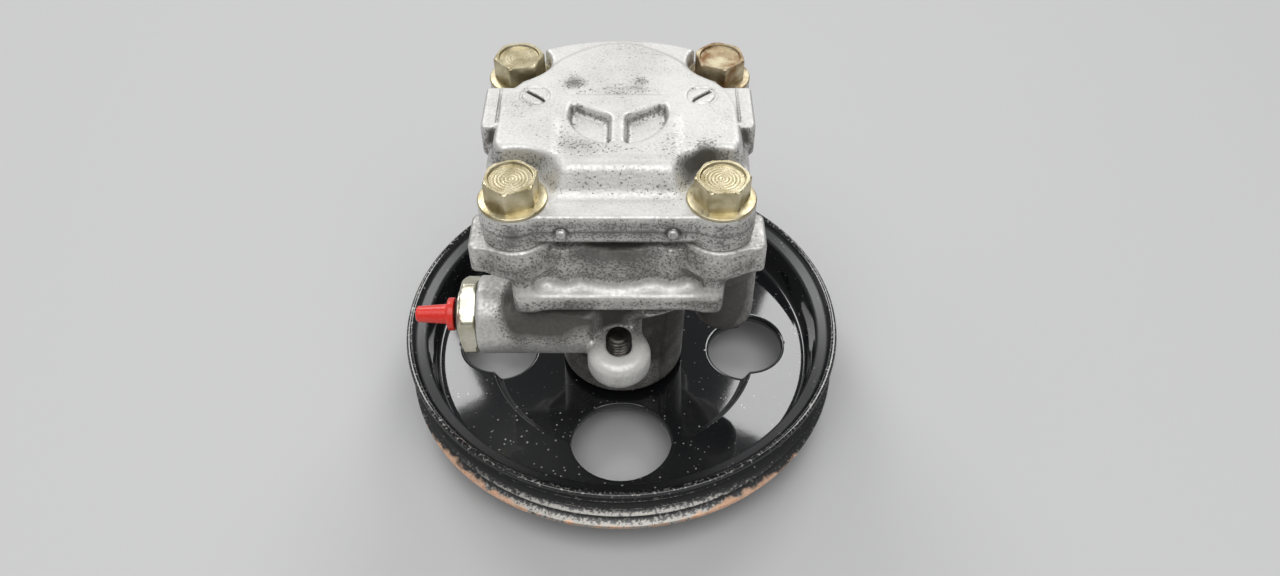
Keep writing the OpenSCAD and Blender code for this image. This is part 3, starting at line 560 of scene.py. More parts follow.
class StageLook(bpy.types.PropertyGroup):
    """Camera and floor"""

    lens: FloatProperty(
        name="Lens", description="Focal length of the camera", default=28.94, unit="CAMERA"
    )
    spot: FloatVectorProperty(
        name="Camera",
        description="Place of the camera",
        default=(0.0055, -0.2124, 0.259),
        subtype="TRANSLATION",
        unit="LENGTH",
    )
    tilt: FloatProperty(
        name="Tilt",
        description="Turn of the camera up from straight down",
        default=math.radians(44.02),
        subtype="ANGLE",
        unit="ROTATION",
    )
    floor: StringProperty(name="Floor", description="Floor colour", default="#C9C9C9")


LOOKS = {
    "pump_pulley_look": PulleyLook,
    "pump_casting_look": CastingLook,
    "pump_fastener_look": FastenerLook,
    "pump_stage_look": StageLook,
}


# Pulley


WEB_INNER, WEB_OUTER = 9.64, 55.0
Z_DISC, Z_WEB, SHEET = 11.0, 14.4, 2.8
Z_RIM, Z_GROOVE, PITCH = 11.6, 12.9, 3.56
HOLES = ((29.4 / 2, 36.0), (22.6 / 2, 38.5))
ARC = 64
STEP_START, STEP_END = 38.6, 41.2
R_RIM, R_RIDGE, R_ROOT = 65.0, 64.0, 61.2
CHIPS = ((-64.0, 2.0), (53.0, -36.0))


def web_top(r):
    """Height of the web's upper side: the recessed middle, a soft step, then the outer web."""
    t = ramp(r, STEP_START, STEP_END)
    return Z_DISC + (Z_WEB - Z_DISC) * t * t * (3 - 2 * t)


def web_quarter(first, second, turn):
    """Quarter of the web from the middle of one hole to the middle of the next.

    Rows lie at constant radii. Each row runs from the angle where it leaves the first hole
    to the angle where it enters the second one, by the law of cosines. The hole's edge is
    half a round that joins both sides of the sheet.
    """
    soft = 0.9
    bow = np.cos(np.linspace(0, np.pi, 28))
    rows = [np.linspace(WEB_INNER, 38, 14), np.arange(38.2, 41.8, 0.2)]
    rows += [np.linspace(42, WEB_OUTER, 8)]
    rows += [at + (r + soft) * bow for r, at in (first, second)]
    rows = np.unique(np.concatenate(rows).round(1))
    rows[0], rows[-1] = WEB_INNER, WEB_OUTER

    def opening(hole):
        r, at = hole
        cosine = (rows**2 + at**2 - (r + soft) ** 2) / (2 * rows * at)
        return np.arccos(np.clip(cosine, -1, 1))

    start, end = opening(first), np.pi / 2 - opening(second)
    angle = start[:, None] + (end - start)[:, None] * np.linspace(0, 1, ARC + 1)
    x, y = rows[:, None] * np.cos(angle), rows[:, None] * np.sin(angle)
    z = web_top(rows)[:, None] + 0 * angle
    quads = grid_quads(len(rows), ARC + 1, False)
    shapes = [(np.stack([x, y, z - d], -1).reshape(-1, 3), quads) for d in (0, SHEET)]
    bend = np.linspace(0, np.pi / 2, 6)
    inset = soft * np.concatenate([np.sin(bend), np.sin(bend[::-1])])
    depth = soft * (1 - np.cos(bend))
    depth = np.concatenate([depth, SHEET - depth[::-1]])
    for (r, at), edge, side in ((first, 0, 0.0), (second, -1, np.pi / 2)):
        near = np.abs(rows - at) < r + soft + 0.01
        middle = at * np.array([math.cos(side), math.sin(side)])
        way = np.stack([x[near, edge], y[near, edge]], -1) - middle
        spot = middle + way * (1 - inset / (r + soft))[:, None, None]
        height = web_top(np.linalg.norm(spot, axis=2)) - depth[:, None]
        points = np.concatenate([spot, height[..., None]], -1).reshape(-1, 3)
        shapes.append((points, grid_quads(len(depth), int(near.sum()), False)))
    points, quads = joined(shapes)
    return points @ np.array(Matrix.Rotation(turn, 3, "Z")).T, quads


def rim_profile():
    """Section of the rim from the web up the inner wall, over the lip and down the grooves."""
    section = [(WEB_OUTER, Z_WEB, 0), (57.2, Z_WEB, 1.8), (58.0, 18.0, 3.0)]
    section += [(59.0, Z_LIP - 2.6, 1.0), (62.2, Z_LIP - 1.5, 0.5), (63.4, Z_LIP - 0.05, 0.5)]
    section += [(64.6, Z_LIP, 0.5), (R_RIM, Z_LIP - 0.8, 0.4)]
    for i in range(3, -1, -1):
        top = Z_GROOVE + (i + 1) * PITCH
        section.append((R_RIM if i == 3 else R_RIDGE, top, 0.35))
        section.append((R_ROOT, top - PITCH * 0.42, 0.3))
        section.append((R_ROOT, top - PITCH * 0.58, 0.3))
    section += [(R_RIM, Z_GROOVE, 0.35), (R_RIM, Z_RIM + 0.1, 0.45)]
    section += [(R_RIM - 1.2, Z_RIM, 0.3), (WEB_OUTER, Z_RIM, 0)]
    return rounded(section, 5)


def pulley_finish(x, y, z):
    """How worn, rusty, dull and dusty the pulley is at each point, with bare crests and flanks at
    the front as painted highlights.

    Each of the four is a product of ramps in radius, height and angle from the front, or a
    bell round a place. Angles are degrees from +X, so the front is at -90.
    """
    r, angle = np.hypot(x, y), np.degrees(np.arctan2(y, x))
    lip = 0.42 * ramp(z, Z_LIP - 0.7, Z_LIP - 0.2) * (r > 63.2)
    # crests are bared most at the front: partly wear, partly a painted highlight for the reflection
    # lines
    facing = ramp(np.abs(angle + 90), 33, 11)
    crest_wear_and_highlight = ramp(r, R_RIDGE - 0.4, R_RIDGE - 0.1) * ramp(z, Z_LIP - 1.5, Z_LIP - 2)
    crest_wear_and_highlight = crest_wear_and_highlight * (0.35 + 0.6 * facing)
    chip = [np.exp(-(((x - a) ** 2 + (y - b) ** 2) / 1.4)) for a, b in CHIPS]
    wear_and_highlight = np.maximum(np.maximum(lip, crest_wear_and_highlight), 0.9 * np.max(chip, 0) * (z > Z_LIP - 2))
    # the belt dulls the grooves and polishes the lower flanks of the two lowest ones; the bare
    # flanks are kept to the front as a painted highlight
    turn = (z - Z_GROOVE) / PITCH
    inner = z > 25.9 + 0.5 * (r - 61)
    flank_wear_and_highlight = (turn > -0.02) * (turn < 1.3) * (turn % 1 < 0.2) * (r > R_RIDGE - 1)
    flank_wear_and_highlight = flank_wear_and_highlight * ramp(np.abs(angle + 94), 60, 20)
    groove = (r > R_ROOT - 0.3) * (r < R_RIM - 0.1) * (turn > 0) * ~inner
    dull = groove * (1 - flank_wear_and_highlight) + 0.4 * inner * (r > 58.5) * (r < 63)
    wear_and_highlight = np.maximum(wear_and_highlight, 0.95 * flank_wear_and_highlight)
    # dust on the web, most of it at the front left
    film = np.exp(-((x + 24) ** 2 + (y + 44) ** 2) / 420)
    film = (film + 0.4 * np.exp(-((x - 18) ** 2 + (y + 48) ** 2) / 300)) * (r < 57)
    # rust along the lower flange, in two patches and thinner between them
    low = ramp(z, Z_RIM + 1.8, Z_RIM + 1.35) * ramp(r, R_RIM - 2.2, R_RIM - 0.7)
    front_left = ramp(np.abs(angle + 128), 28, 8)
    front_right = ramp(np.abs(angle + 58), 22.4, 6.4)
    between = 0.55 * ramp(np.abs(angle + 92), 30, 5)
    rust = low * (0.25 + 0.5 * np.maximum(np.maximum(front_left, front_right), between))
    return {"wear_and_highlight": wear_and_highlight, "rust": rust, "dull": dull, "film": film}


class PUMP_OT_pulley(bpy.types.Operator):
    """Painted multi-groove pulley with four access holes"""

    bl_idname = "pump.pulley"
    bl_label = "Pulley"

    def execute(self, context):
        look = context.scene.pump_pulley_look
        parts = [revolved(rim_profile(), 4 * ARC)]
        for k in range(4):
            parts.append(web_quarter(HOLES[(k + 1) % 2], HOLES[k % 2], k * np.pi / 2))
        bore = np.array([[WEB_INNER, Z_DISC], [WEB_INNER, Z_DISC - SHEET]])
        parts.append(revolved(bore, 4 * ARC))
        mesh = tidy_mesh(new_mesh("pulley_painted", *joined(parts)), 0.02)
        points = np.zeros(len(mesh.vertices) * 3, np.float32)
        mesh.vertices.foreach_get("co", points)
        x, y, z = points.reshape(-1, 3).T / MM
        store_values(mesh, pulley_finish(x, y, z))
        paint = new_material(
            "baked_black_enamel", gloss_paint(look.paint, look.dust, look.bare, look.rust)
        )
        add_piece("pulley_painted", mesh, paint, "shaft_group", "black_paint", ("pulley",))
        return {"FINISHED"}


# Castings


def body_field(x, y, z):
    """Body casting: neck, cavity wall, flange, ledge, barrel, bosses and lugs, then its bores.

    The distance is that of rounded prisms joined one by one with fillets; the bores, joined
    among themselves without fillets, are cut out of it last.
    """
    radius = np.hypot(x, y)
    z_floor, z_flange, z_ledge = Z_MATE - 22.5, Z_MATE - 8.2, Z_MATE - 20.0
    wall_r, boss_r, ledge_half = 30.5, 9.2, 25.4
    neck = prism(radius - 18.5 - (z - Z_NECK) * 0.031, z, Z_NECK, 66, 0.9)
    throat = np.maximum((radius - 19.7 - (z - 52) * 1.4) * 0.58, np.abs(z - 56) - 6)
    wall = prism(radius - wall_r, z, z_floor - 6, Z_MATE, 1.6)
    solid = join(join(neck, throat, 3), wall, 3)
    plan = radius[..., :1] - wall_r
    for cx, cy in BOLTS:
        plan = np.minimum(plan, disc(x, y, cx, cy, boss_r))
        plan = join(plan, bar(x, y, math.atan2(cy, cx), 34, 7), 4)
    for s in (-1, 1):
        plan = join(plan, rectangle(s * x, y, 22, 36.4, -33, -20, 2), 2)
    flange = prism(plan, z, z_flange, Z_MATE, 0.5)
    for cx, cy in BOLTS:
        boss = disc(x, y, cx, cy, boss_r) + np.maximum(z_flange - z, 0) * 0.8
        flange = join(flange, np.maximum(boss * 0.78, np.abs(z - 78) - 6), 1.5)
    solid = join(solid, flange, 2.5)
    gap = prism(rectangle(x, y, -16.5, 16.5, -40, -28.6, 2), z, Z_MATE - 2.4, Z_MATE + 4, 0.5)
    solid = cut(solid, gap, 0.8)
    # front wall: the cavity's bulge between two ribs, then the posts, all on the ledge
    front = rectangle(x, y, -ledge_half, ledge_half, -30.4, -12)
    front = join(front, disc(x, y, 0, -14.2, 18), 1.2)
    for s in (-1, 1):
        front = join(front, disc(s * x, y, 13.5, -28.6, 3), 1.6)
        front = join(front, rectangle(s * x, y, 21.4, ledge_half, -34.4, -19, 0.5), 4.5)
    ledge = rectangle(x, y, -ledge_half, ledge_half, -35, -12, 1.0)
    ledge = prism(ledge, z, z_ledge, z_ledge + 5, 0.5)
    ledge = join(ledge, prism(front, z, z_ledge, Z_MATE - 2.2, 1.0), 3.6)
    solid = join(solid, ledge, 1.2)
    barrel = prism(disc(y, z, VALVE_Y, VALVE_Z, 10.5), x, X_MOUTH, 4, 0.9)
    solid = join(solid, barrel, 2.5)
    hung = prism(disc(x, y, 29, -13, 8.2), z, Z_MATE - 45, z_flange + 1, 4)
    solid = join(solid, hung, 3.5)
    port = prism(disc(y, z, PORT_Y, PORT_Z, 9), x, X_MOUTH + 1.4, -6, 0.8)
    port = join(port, prism(rectangle(x, y, X_MOUTH + 6, -9, -21, -4), z, 46, 56, 1), 2)
    solid = join(solid, port, 2.5)
    inlet = prism(disc(x, z, INLET_X, INLET_Z, 11.5), y, 13, 38.5, 0.9)
    solid = join(solid, inlet, 2.5)
    for turn in (-55.5, -47.5):
        c, n = math.cos(math.radians(turn)), math.sin(math.radians(turn))
        rib = rectangle(x * c + y * n, y * c - x * n, 16, 19.5, -0.55, 0.55, 0.4)
        solid = join(solid, prism(rib, z, Z_NECK + 1.5, 50, 0.3), 0.8)
    # room above the front lug for a nut
    room = prism(disc(x, y, 0, -LUG_REACH, 7.6), z, 45, z_ledge - 1.5, 1.5)
    solid = cut(solid, room, 1.5)
    for s in (-1, 1):
        lug = prism(disc(x, y, 0, s * LUG_REACH, 8.3), z, Z_LUG, Z_LUG + LUG_HEIGHT, 2.6)
        arm = rectangle(x, y * s, -6, 6, 0, LUG_REACH)
        arm = prism(arm, z, Z_LUG + 0.5, Z_LUG + LUG_HEIGHT - 1, 1.2)
        solid = join(solid, join(lug, arm, 1.6), 1.8)
    # bores: bearing, seal, shaft, bush, cavity; valve and switch; ports; bolts; lugs
    axis = disc(y, z, VALVE_Y, VALVE_Z, 0)
    bores = prism(radius - 16.04, z, 0, 24.64)
    for plan, along, start, end in (
        (radius - 12.54, z, 20, 32.24),
        (radius - 8.2, z, 20, z_floor + 1),
        (radius - 9.24, z, z_floor - 21, z_floor + 1),
        (radius - 26.5, z, z_floor, Z_MATE + 4),
        (axis - 7, x, X_MOUTH + 1, -8.2),
        (axis - 8.1, x, X_MOUTH - 4, X_MOUTH + 8.1),
        (disc(y, z, PORT_Y, PORT_Z, 6.5), x, -45, X_MOUTH + 14),
        (disc(x, z, INLET_X, INLET_Z, 8.5), y, 27.5, 45),
        *((disc(x, y, cx, cy, 3.4), z, Z_MATE - 12, Z_MATE + 4) for cx, cy in BOLTS),
        *((disc(x, y, 0, s * LUG_REACH, 2.9), z, 40, 60) for s in (-1, 1)),
    ):
        bores = np.minimum(bores, prism(plan, along, start, end))
    return cut(solid, bores, 0.5)


def cover_field(x, y, z):
    """Cover casting: flange with round corners, plateau with nose, ears and hollows, pocket.

    Like the body, a sum of rounded prisms with fillets, from which hollows and bores are cut.
    """
    front, rear, side = -32.5, 31.6, 32.7
    corner_r, rib_half = 8.3, 1.85
    mark_x, mark_y = 21.6, 7.5
    plan = rectangle(x, y, -side, side, front, rear, 7.5)
    for cx, cy in BOLTS:
        plan = join(plan, disc(x, y, cx, cy, corner_r), 1.0)
    # parting line of the two mould halves, a low ridge round the flange
    ridge = 0.22 * np.exp(-(((z - Z_PARTING) / 0.35) ** 2))
    solid = prism(plan - ridge, z, Z_MATE + 1.3, Z_SEAT, 1.0)
    for cx, cy in BOLTS:
        solid = join(solid, prism(disc(x, y, cx, cy, corner_r), z, Z_MATE, Z_SEAT, 0.4), 0.6)
    solid = np.minimum(solid, prism(np.hypot(x, y) - 29.9, z, Z_MATE, Z_SEAT, 0.3))
    # round ejector marks on the front edge
    for s in (-1, 1):
        spot = disc(x, z, s * 13.4, Z_MATE + 4.3, 1.5)
        solid = cut(solid, prism(np.abs(spot) - 0.3, y, front - 2, front + 0.5), 0.3)
        solid = join(solid, prism(spot + 0.2, y, front - 0.8, front + 2, 0.3), 0.3)
    draft = (z - Z_TOP) * 0.18
    nose_draft = (z - Z_TOP) * 0.7
    top = np.maximum(np.maximum(np.hypot(x, y) - 32.5, np.abs(x) - 30.5), -18 - y)
    # straight cuts past the rear bolts, rounded into the disc
    top = cut(top, 28.6 - 0.733 * np.abs(x) - 0.678 * y, 7)
    nose = rectangle(x, y, -15.4, 15.4, -20.8, 0, 2.5)
    shelf = np.maximum(rectangle(x, y, -26, 26, 0, 40), disc(x, y, 0, -13.7, 49))
    for cx, cy in BOLTS:
        hollow = disc(x, y, cx, cy, 12.4 if cy < 0 else 9.2)
        top = cut(top, hollow, 2.5)
        nose = cut(nose, hollow, 2.5)
        shelf = cut(shelf, hollow + 0.5, 1)
    plateau = prism(top + draft, z, Z_SEAT - 3, Z_TOP, 1.3)
    plateau = join(plateau, prism((nose + nose_draft) * 0.85, z, Z_SEAT - 3, Z_TOP, 1.3), 1.5)
    ears = prism(rectangle(x, y, -34.5, 34.5, -5.3, 11.8, 1.2), z, Z_SEAT - 3, Z_TOP - 0.4, 0.9)
    shelf = prism(shelf, z, Z_SEAT - 3, Z_TOP - 1.2, 0.9)
    solid = join(solid, np.minimum(ears, join(shelf, plateau, 1.2)), 2.0)
    # seam where each ear leaves the plateau
    for s in (-1, 1):
        seam = rectangle(s * x, y, 30.3, 30.8, -3.5, 11)
        solid = cut(solid, prism(seam, z, Z_TOP - 1.1, Z_TOP + 3), 0.3)
    # pocket with two open sectors, and a shallow crescent behind it
    middle = np.hypot(x, y)
    pit = middle - 12.6
    for turn in (30, 150, 270):
        pit = cut(pit, bar(x, y, math.radians(turn), 16, rib_half), 1.2)
    angle = np.degrees(np.arctan2(y, x))
    pit = np.where((angle > 30) & (angle < 150), np.maximum(pit, rib_half), pit)
    solid = cut(solid, prism(pit - (z - Z_TOP) * 0.3, z, Z_TOP - 2.6, Z_TOP + 3, 0.6), 1.0)
    crescent = np.maximum(disc(x, y, 0, -9.2, 20.9), 8.4 - y)
    solid = cut(solid, prism(crescent, z, Z_TOP - 0.45, Z_TOP + 3, 0.3), 1.2)
    # slotted round marks
    for s in (-1, 1):
        mark = disc(x, y, s * mark_x, mark_y, 3.6)
        c, n = math.cos(math.radians(s * 40)), math.sin(math.radians(s * 40))
        u, v = x - s * mark_x, y - mark_y
        slit = rectangle(u * c + v * n, v * c - u * n, -3.2, 3.2, -0.4, 0.4)
        solid = cut(solid, prism(np.abs(mark) - 0.3, z, Z_TOP - 0.5, Z_TOP + 3), 0.4)
        solid = cut(solid, prism(slit, z, Z_TOP - 1.2, Z_TOP + 3), 0.3)
    bores = prism(middle - 9, z, Z_MATE - 4, Z_MATE + 5)
    for cx, cy in BOLTS:
        bores = np.minimum(bores, prism(disc(x, y, cx, cy, 4.3), z, Z_MATE - 4, Z_SEAT + 4))
    return np.maximum(solid, -bores)


def body_soil(points, out, hollow):
    """Dirt and painted light on the body: pepper and painted shade in corners and on the front,
    thick painted shade beneath the ledge and on faces turned down, painted highlights on lit tops.

    Each spot is a bell round a middle: positive ones darken, mostly as painted shade, and negative
    ones are painted highlights.
    """
    x, y, z = points.T
    level = ramp(z, 60, 66) * ramp(z, Z_MATE, Z_MATE - 6)
    # front: pepper and painted shade on the upright front faces
    front = ramp(y, -12, -20) * level * np.clip(1 - out[:, 2] * 1.5, 0, 1)
    # neck: the neck below the body is darker
    neck = ramp(z, 52, 49) * (np.hypot(x, y) < 25)
    # painted shade on faces turned down
    shade_underneath = np.clip(-out[:, 2] - 0.15, 0, 1) * (z < 62)
    # ledge: painted highlight, a lighter strip on the ledge's upward faces
    ledge = np.clip(out[:, 2] * 2, 0, 1) * (np.abs(z - Z_MATE + 15) < 2.6) * (y < -29)
    # bells: painted shade behind the stud, beneath the ledge, on the barrel top and beneath the
    # cover's edge; the side boss darker; painted highlights on the valve's mouth and the front lug
    spots = (
        ((0, -29, 61), (7, 5, 6), 1.1),
        ((-18, -32, 60), (12, 7, 6), 1.7),
        ((-27, -28, 64), (4, 8, 6), 1.4),
        ((27, -22, 58), (8, 9, 15), 2.4),
        ((0, -31, Z_MATE - 2.5), (15, 5, 2.5), 1.0),
        ((X_MOUTH, VALVE_Y, VALVE_Z), (3.5, 12, 12), -0.8),
        ((0, -40, 54), (11, 6, 6), -1.1),
    )
    painted_light_spots = sum(
        h * np.exp(-(((points - np.array(at)) / np.array(size)) ** 2).sum(1))
        for at, size, h in spots
    )
    # hollow adds painted shade in inner corners
    return 0.85 * hollow + 0.4 * front + 0.1 + neck + 0.8 * shade_underneath + painted_light_spots - 0.8 * ledge


def cover_soil(points, out, hollow):
    """Dirt and painted shade on the cover: pepper and painted shade on its sloped and upright faces
    and in its hollows, stains at a few spots.

    Each of the stains is a bell of radius r and strength h round (a, b).
    """
    x, y, z = points.T
    upright = np.clip(1 - out[:, 2] * 1.1, 0, 1)
    stains = (
        (-11.5, 12.5, 3.0, 0.66),
        (6.0, 13.5, 2.4, 0.6),
        (17.0, -18.8, 3.0, 0.8),
        (21.5, -15.0, 3.0, 0.8),
    )
    spots = sum(h * np.exp(-((x - a) ** 2 + (y - b) ** 2) / r**2) for a, b, r, h in stains)
    parting = np.exp(-(((z - Z_PARTING) / 0.5) ** 2)) * upright
    # hollow is painted shade in inner corners; upright is pepper and painted shade on the upright
    # faces
    return 1.1 * hollow + 0.62 * upright + 0.3 * parting + spots


def add_casting(node, name, pitch, shape, soil, metal, slot):
    """Meshes a casting's distance on a grid that reaches a little past its CAD box."""
    low, high = box_mm(node)
    low, high, pitch = low - 2, high + 2, pitch / MM
    mesh = implicit_mesh(name, shape(*space(low, high, pitch)), low, pitch, soil)
    add_piece(name, mesh, metal, "housing", slot, (node,), None)


class PUMP_OT_body(bpy.types.Operator):
    """Body casting with filleted bosses, lugs and ledge"""

    bl_idname = "pump.body"
    bl_label = "Body casting"

    def execute(self, context):
        look = context.scene.pump_casting_look
        finish = cast_aluminium(look.body_clean, look.body_dull, look.soil, 0.9)
        metal = new_material("soiled_cast_aluminium", finish)
        shape = (look.body_pitch, body_field, body_soil)
        add_casting("pump_body", "body_cast", *shape, metal, "body_casting")
        return {"FINISHED"}


class PUMP_OT_cover(bpy.types.Operator):
    """Cover casting with its plateau, bolt hollows and ribbed pocket"""

    bl_idname = "pump.cover"
    bl_label = "Cover casting"

    def execute(self, context):
        look = context.scene.pump_casting_look
        finish = cast_aluminium(look.cover_clean, look.cover_dull, look.soil, 0.7)
        metal = new_material("clean_cast_aluminium", finish)
        shape = (look.cover_pitch, cover_field, cover_soil)
        add_casting("rear_cover", "cover_cast", *shape, metal, "cover_casting")
        return {"FINISHED"}


# Fasteners


def bolt_shape():
    """Flanged hexagon bolt: a turned profile whose head rows take a hexagon's radius."""
    across, head = 12.0, Z_HEAD - Z_SEAT
    shank = [(0, -20.5, 0), (2.7, -20.5, 0), (3.3, -19.9, 0), (3.3, -9.5, 0), (4.0, -8.8, 0)]
    flange = [(4.0, 0, 0), (8.3, 0, 0.2), (8.5, 0.5, 0.3), (8.35, 0.95, 0.25), (7.0, 1.18, 0)]
    section = rounded(shank + flange)
    heights = np.linspace(1.2, head, 20)
    sides = np.stack([np.full(len(heights), 20.0), heights], -1)
    ring = np.concatenate([np.linspace(6.0, 5.0, 14), np.linspace(4.85, 0, 34)])
    dish = ramp(ring, 5.5, 5.1)
    ripple = 0.016 * np.cos(ring * 2 * np.pi / 0.85) * ramp(ring, 4.6, 4.1)
    top = np.stack([ring, head - 0.7 * dish * dish * (3 - 2 * dish) + ripple], -1)

    def radius(angle, r, z):
        flats = hexagon(angle, across, 70)
        crown = 6.3 + (head - z) * 1.75
        return np.where(r > 15, np.minimum(flats, crown), np.minimum(r, flats + 9 * (z < 1.19)))

    return revolved(np.concatenate([section, sides, top]), 144, radius)


class PUMP_OT_bolts(bpy.types.Operator):
    """Four flanged cover bolts with dished heads"""

    bl_idname = "pump.bolts"
    bl_label = "Cover bolts"

    def execute(self, context):
        look = context.scene.pump_fastener_look
        points, quads = bolt_shape()
        zinc = new_material("yellow_zinc", plated_steel(look.zinc, look.zinc_deep, 0.36, 4))
        aged = new_material("rusted_zinc", plated_steel(look.zinc, "#8A6844", 0.45, 4))
        for k, (name, turn) in enumerate(
            zip(("front_left", "front_right", "rear_left", "rear_right"), BOLT_TURNS)
        ):
            spin = np.array(Matrix.Rotation(math.radians(turn + 30), 3, "Z"))
            placed = points @ spin.T + np.array([*BOLTS[k], Z_SEAT])
            label = "cover_bolt_" + name
            mesh = tidy_mesh(new_mesh(label, placed, quads))
            replaced = ("cover_bolts",) if k == 0 else ()
            finish = aged if name == "rear_right" else zinc
            add_piece(label, mesh, finish, "housing", "yellow_zinc", replaced)
        return {"FINISHED"}


class PUMP_OT_stud(bpy.types.Operator):
    """Threaded mounting stud in the front lug"""

    bl_idname = "pump.stud"
    bl_label = "Mounting stud"

    def execute(self, context):
        z0, z1 = STUD_LOW[2], STUD_HIGH[2]
        lug_top, pitch = Z_LUG + LUG_HEIGHT, 1.0
        thread = np.linspace(lug_top, z1 - 0.5, 56)
        section = np.concatenate(
            [
                [(0, z0), (2.7, z0), (2.7, lug_top - 0.05)],
                np.stack([np.full(len(thread), 3.4), thread], -1),
                [(2.5, z1 - 0.05), (2.2, z1), (1.2, z1), (0, z1)],
            ]
        )

        def radius(angle, r, z):
            # thread: the crest wanders one pitch up in each turn
            wave = np.abs((z / pitch - angle / (2 * np.pi)) % 1 - 0.5) * 2
            fade = ramp(z, z1 - 0.3, z1 - 1.1)
            cut_in = 0.62 * np.clip(1.25 * wave - 0.12, 0, 1)
            return np.where(r > 3, r - cut_in * fade - 0.5 * (1 - fade), r + 0 * angle)

        points, quads = revolved(section, 64, radius)
        points = points + np.array([0, -LUG_REACH, 0])
        steel = new_material("phosphated_steel", plated_steel("#55524E", "#33312E", 0.34, 3))
        mesh = tidy_mesh(new_mesh("stud_threaded", points, quads))
        add_piece("stud_threaded", mesh, steel, "housing", "dark_steel", ("mounting_stud",))
        return {"FINISHED"}


class PUMP_OT_switch(bpy.types.Operator):
    """Pressure switch with its hexagon, insulator and terminal"""

    bl_idname = "pump.switch"
    bl_label = "Pressure switch"

    def execute(self, context):
        look = context.scene.pump_fastener_look
        across, thick = 19.0, 5.4
        flat = thick - 1.0
        heights = np.linspace(-flat, -0.15, 14)
        section = np.concatenate(
            [
                [(1.25, -thick + 2.4), (4.6, -thick + 2.4), (4.6, -thick + 0.3)],
                rounded([(4.7, -thick, 0), (6.6, -thick, 0.3), (6.6, -flat, 0), (9.3, -flat, 0)]),
                np.stack([np.full(len(heights), 20.0), heights], -1),
                rounded(
                    [(8.6, 0, 0), (8.0, 0, 0), (8.0, 7.6, 0), (7.6, 8.0, 0), (2.5, 8.0, 0)]
                ),
                [(2.5, 4.0), (1.25, 4.0), (1.25, -thick + 2.4)],
            ]
        )

        def radius(angle, r, z):
            shaped = np.minimum(hexagon(angle, across, 40), 9.3 + (z + flat) * 1.75)
            shaped = np.minimum(shaped, 9.6 - z * 2.5)
            return np.where(r > 15, shaped, r + 0 * angle)

        points, quads = revolved(section, 96, radius)
        spin = np.array(Matrix.Rotation(math.radians(26), 3, "Z"))
        placed = along_x(points @ spin.T, X_MOUTH)
        plating = new_material("pale_zinc", plated_steel(look.switch, "#B4AF97", 0.34, 6))
        mesh = tidy_mesh(new_mesh("switch_hex", placed, quads))
        add_piece("switch_hex", mesh, plating, "housing", "yellow_zinc", ("pressure_switch",))
        x_hex = X_MOUTH - thick
        ring = [(1.26, 0, 0), (4.5, 0, 0.4), (4.5, 3.1, 0), (1.26, 3.1, 0), (1.26, 0, 0)]
        points, quads = revolved(rounded(ring), 64)
        mesh = tidy_mesh(new_mesh("switch_boot", along_x(points, x_hex - 0.8), quads))
        boot = new_material("phenolic_insulator", moulded("#1B1815", "#100E0C", 0.5))
        add_piece("switch_boot", mesh, boot, "housing", "black_plastic", ("switch_insulator",))
        pin = [(0, 4.0, 0), (1.2, 4.0, 0), (1.2, -0.8, 0), (1.8, -0.8, 0.1), (1.8, -1.3, 0.1)]
        pin += [(1.2, -1.3, 0), (1.2, -9.5, 0.4), (0.6, -10.1, 0.2), (0, -10.1, 0)]
        points, quads = revolved(rounded(pin), 48)
        mesh = tidy_mesh(new_mesh("switch_pin", along_x(points, x_hex), quads))
        brass = new_material("drawn_brass", plated_steel("#C9A24E", "#A37C32", 0.3, 3))
        add_piece("switch_pin", mesh, brass, "housing", "brass_terminal", ("switch_terminal",))
        return {"FINISHED"}


class PUMP_OT_cap(bpy.types.Operator):
    """Red transport cap on the terminal"""

    bl_idname = "pump.cap"
    bl_label = "Terminal cap"

    def execute(self, context):
        look = context.scene.pump_fastener_look
        length = CAP_HIGH[0] - CAP_LOW[0]
        brim = [(1.24, 0, 0), (4.45, 0, 0.25), (4.45, -1.85, 0.5), (2.75, -2.0, 0.5)]
        tip = [(2.15, 0.4 - length, 0.5), (1.5, -length, 0.4), (0.7, -length, 0), (0, -length, 0)]
        inside = np.array([(0, 1.4 - length), (1.24, 1.4 - length), (1.24, 0)])
        points, quads = revolved(np.concatenate([rounded(brim + tip, 6), inside]), 72)
        mesh = tidy_mesh(new_mesh("cap_red", along_x(points, CAP_HIGH[0]), quads))
        plastic = new_material("soft_red_vinyl", moulded(look.cap, "#E23028", 0.28, 0.15))
        add_piece("cap_red", mesh, plastic, "cap", "red_plastic", ("terminal_cap",))
        return {"FINISHED"}


class PUMP_OT_inner_parts(bpy.types.Operator):
    """Finishes of the turned, ground and moulded parts inside"""

    bl_idname = "pump.inner_parts"
    bl_label = "Inner parts"

    def execute(self, context):
        finishes = {
            "ground_steel": (plated_steel, "#B4B5B8", "#9A9B9E", 0.25),
            "dark_spring_steel": (plated_steel, "#4A4A4C", "#333335", 0.4),
            "polished_steel": (plated_steel, "#CFCFD2", "#BDBDC0", 0.14),
            "sintered_bronze": (plated_steel, "#A97C48", "#8C6336", 0.45),
            "nitrile_rubber": (moulded, "#1C1C1C", "#121212", 0.6),
        }
        made = {k: new_material(k, make(*rest)) for k, (make, *rest) in finishes.items()}
        users = {
            "ground_steel": (
                "drive_shaft pulley_hub pulley_key rotor vanes cam_ring side_plate "
                "dowel_pins valve_spool pulley_nut"
            ),
            "dark_spring_steel": "spring_washer bearing_clip rotor_clip valve_spring",
            "polished_steel": "bearing_inner_ring bearing_outer_ring bearing_balls",
            "sintered_bronze": "shaft_bush bearing_cage",
            "nitrile_rubber": "shaft_seal side_plate_seal cover_seal switch_seal",
        }
        for finish, names in users.items():
            for name in names.split():
                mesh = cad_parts[name].data
                mesh.materials.clear()
                mesh.materials.append(made[finish])
        return {"FINISHED"}


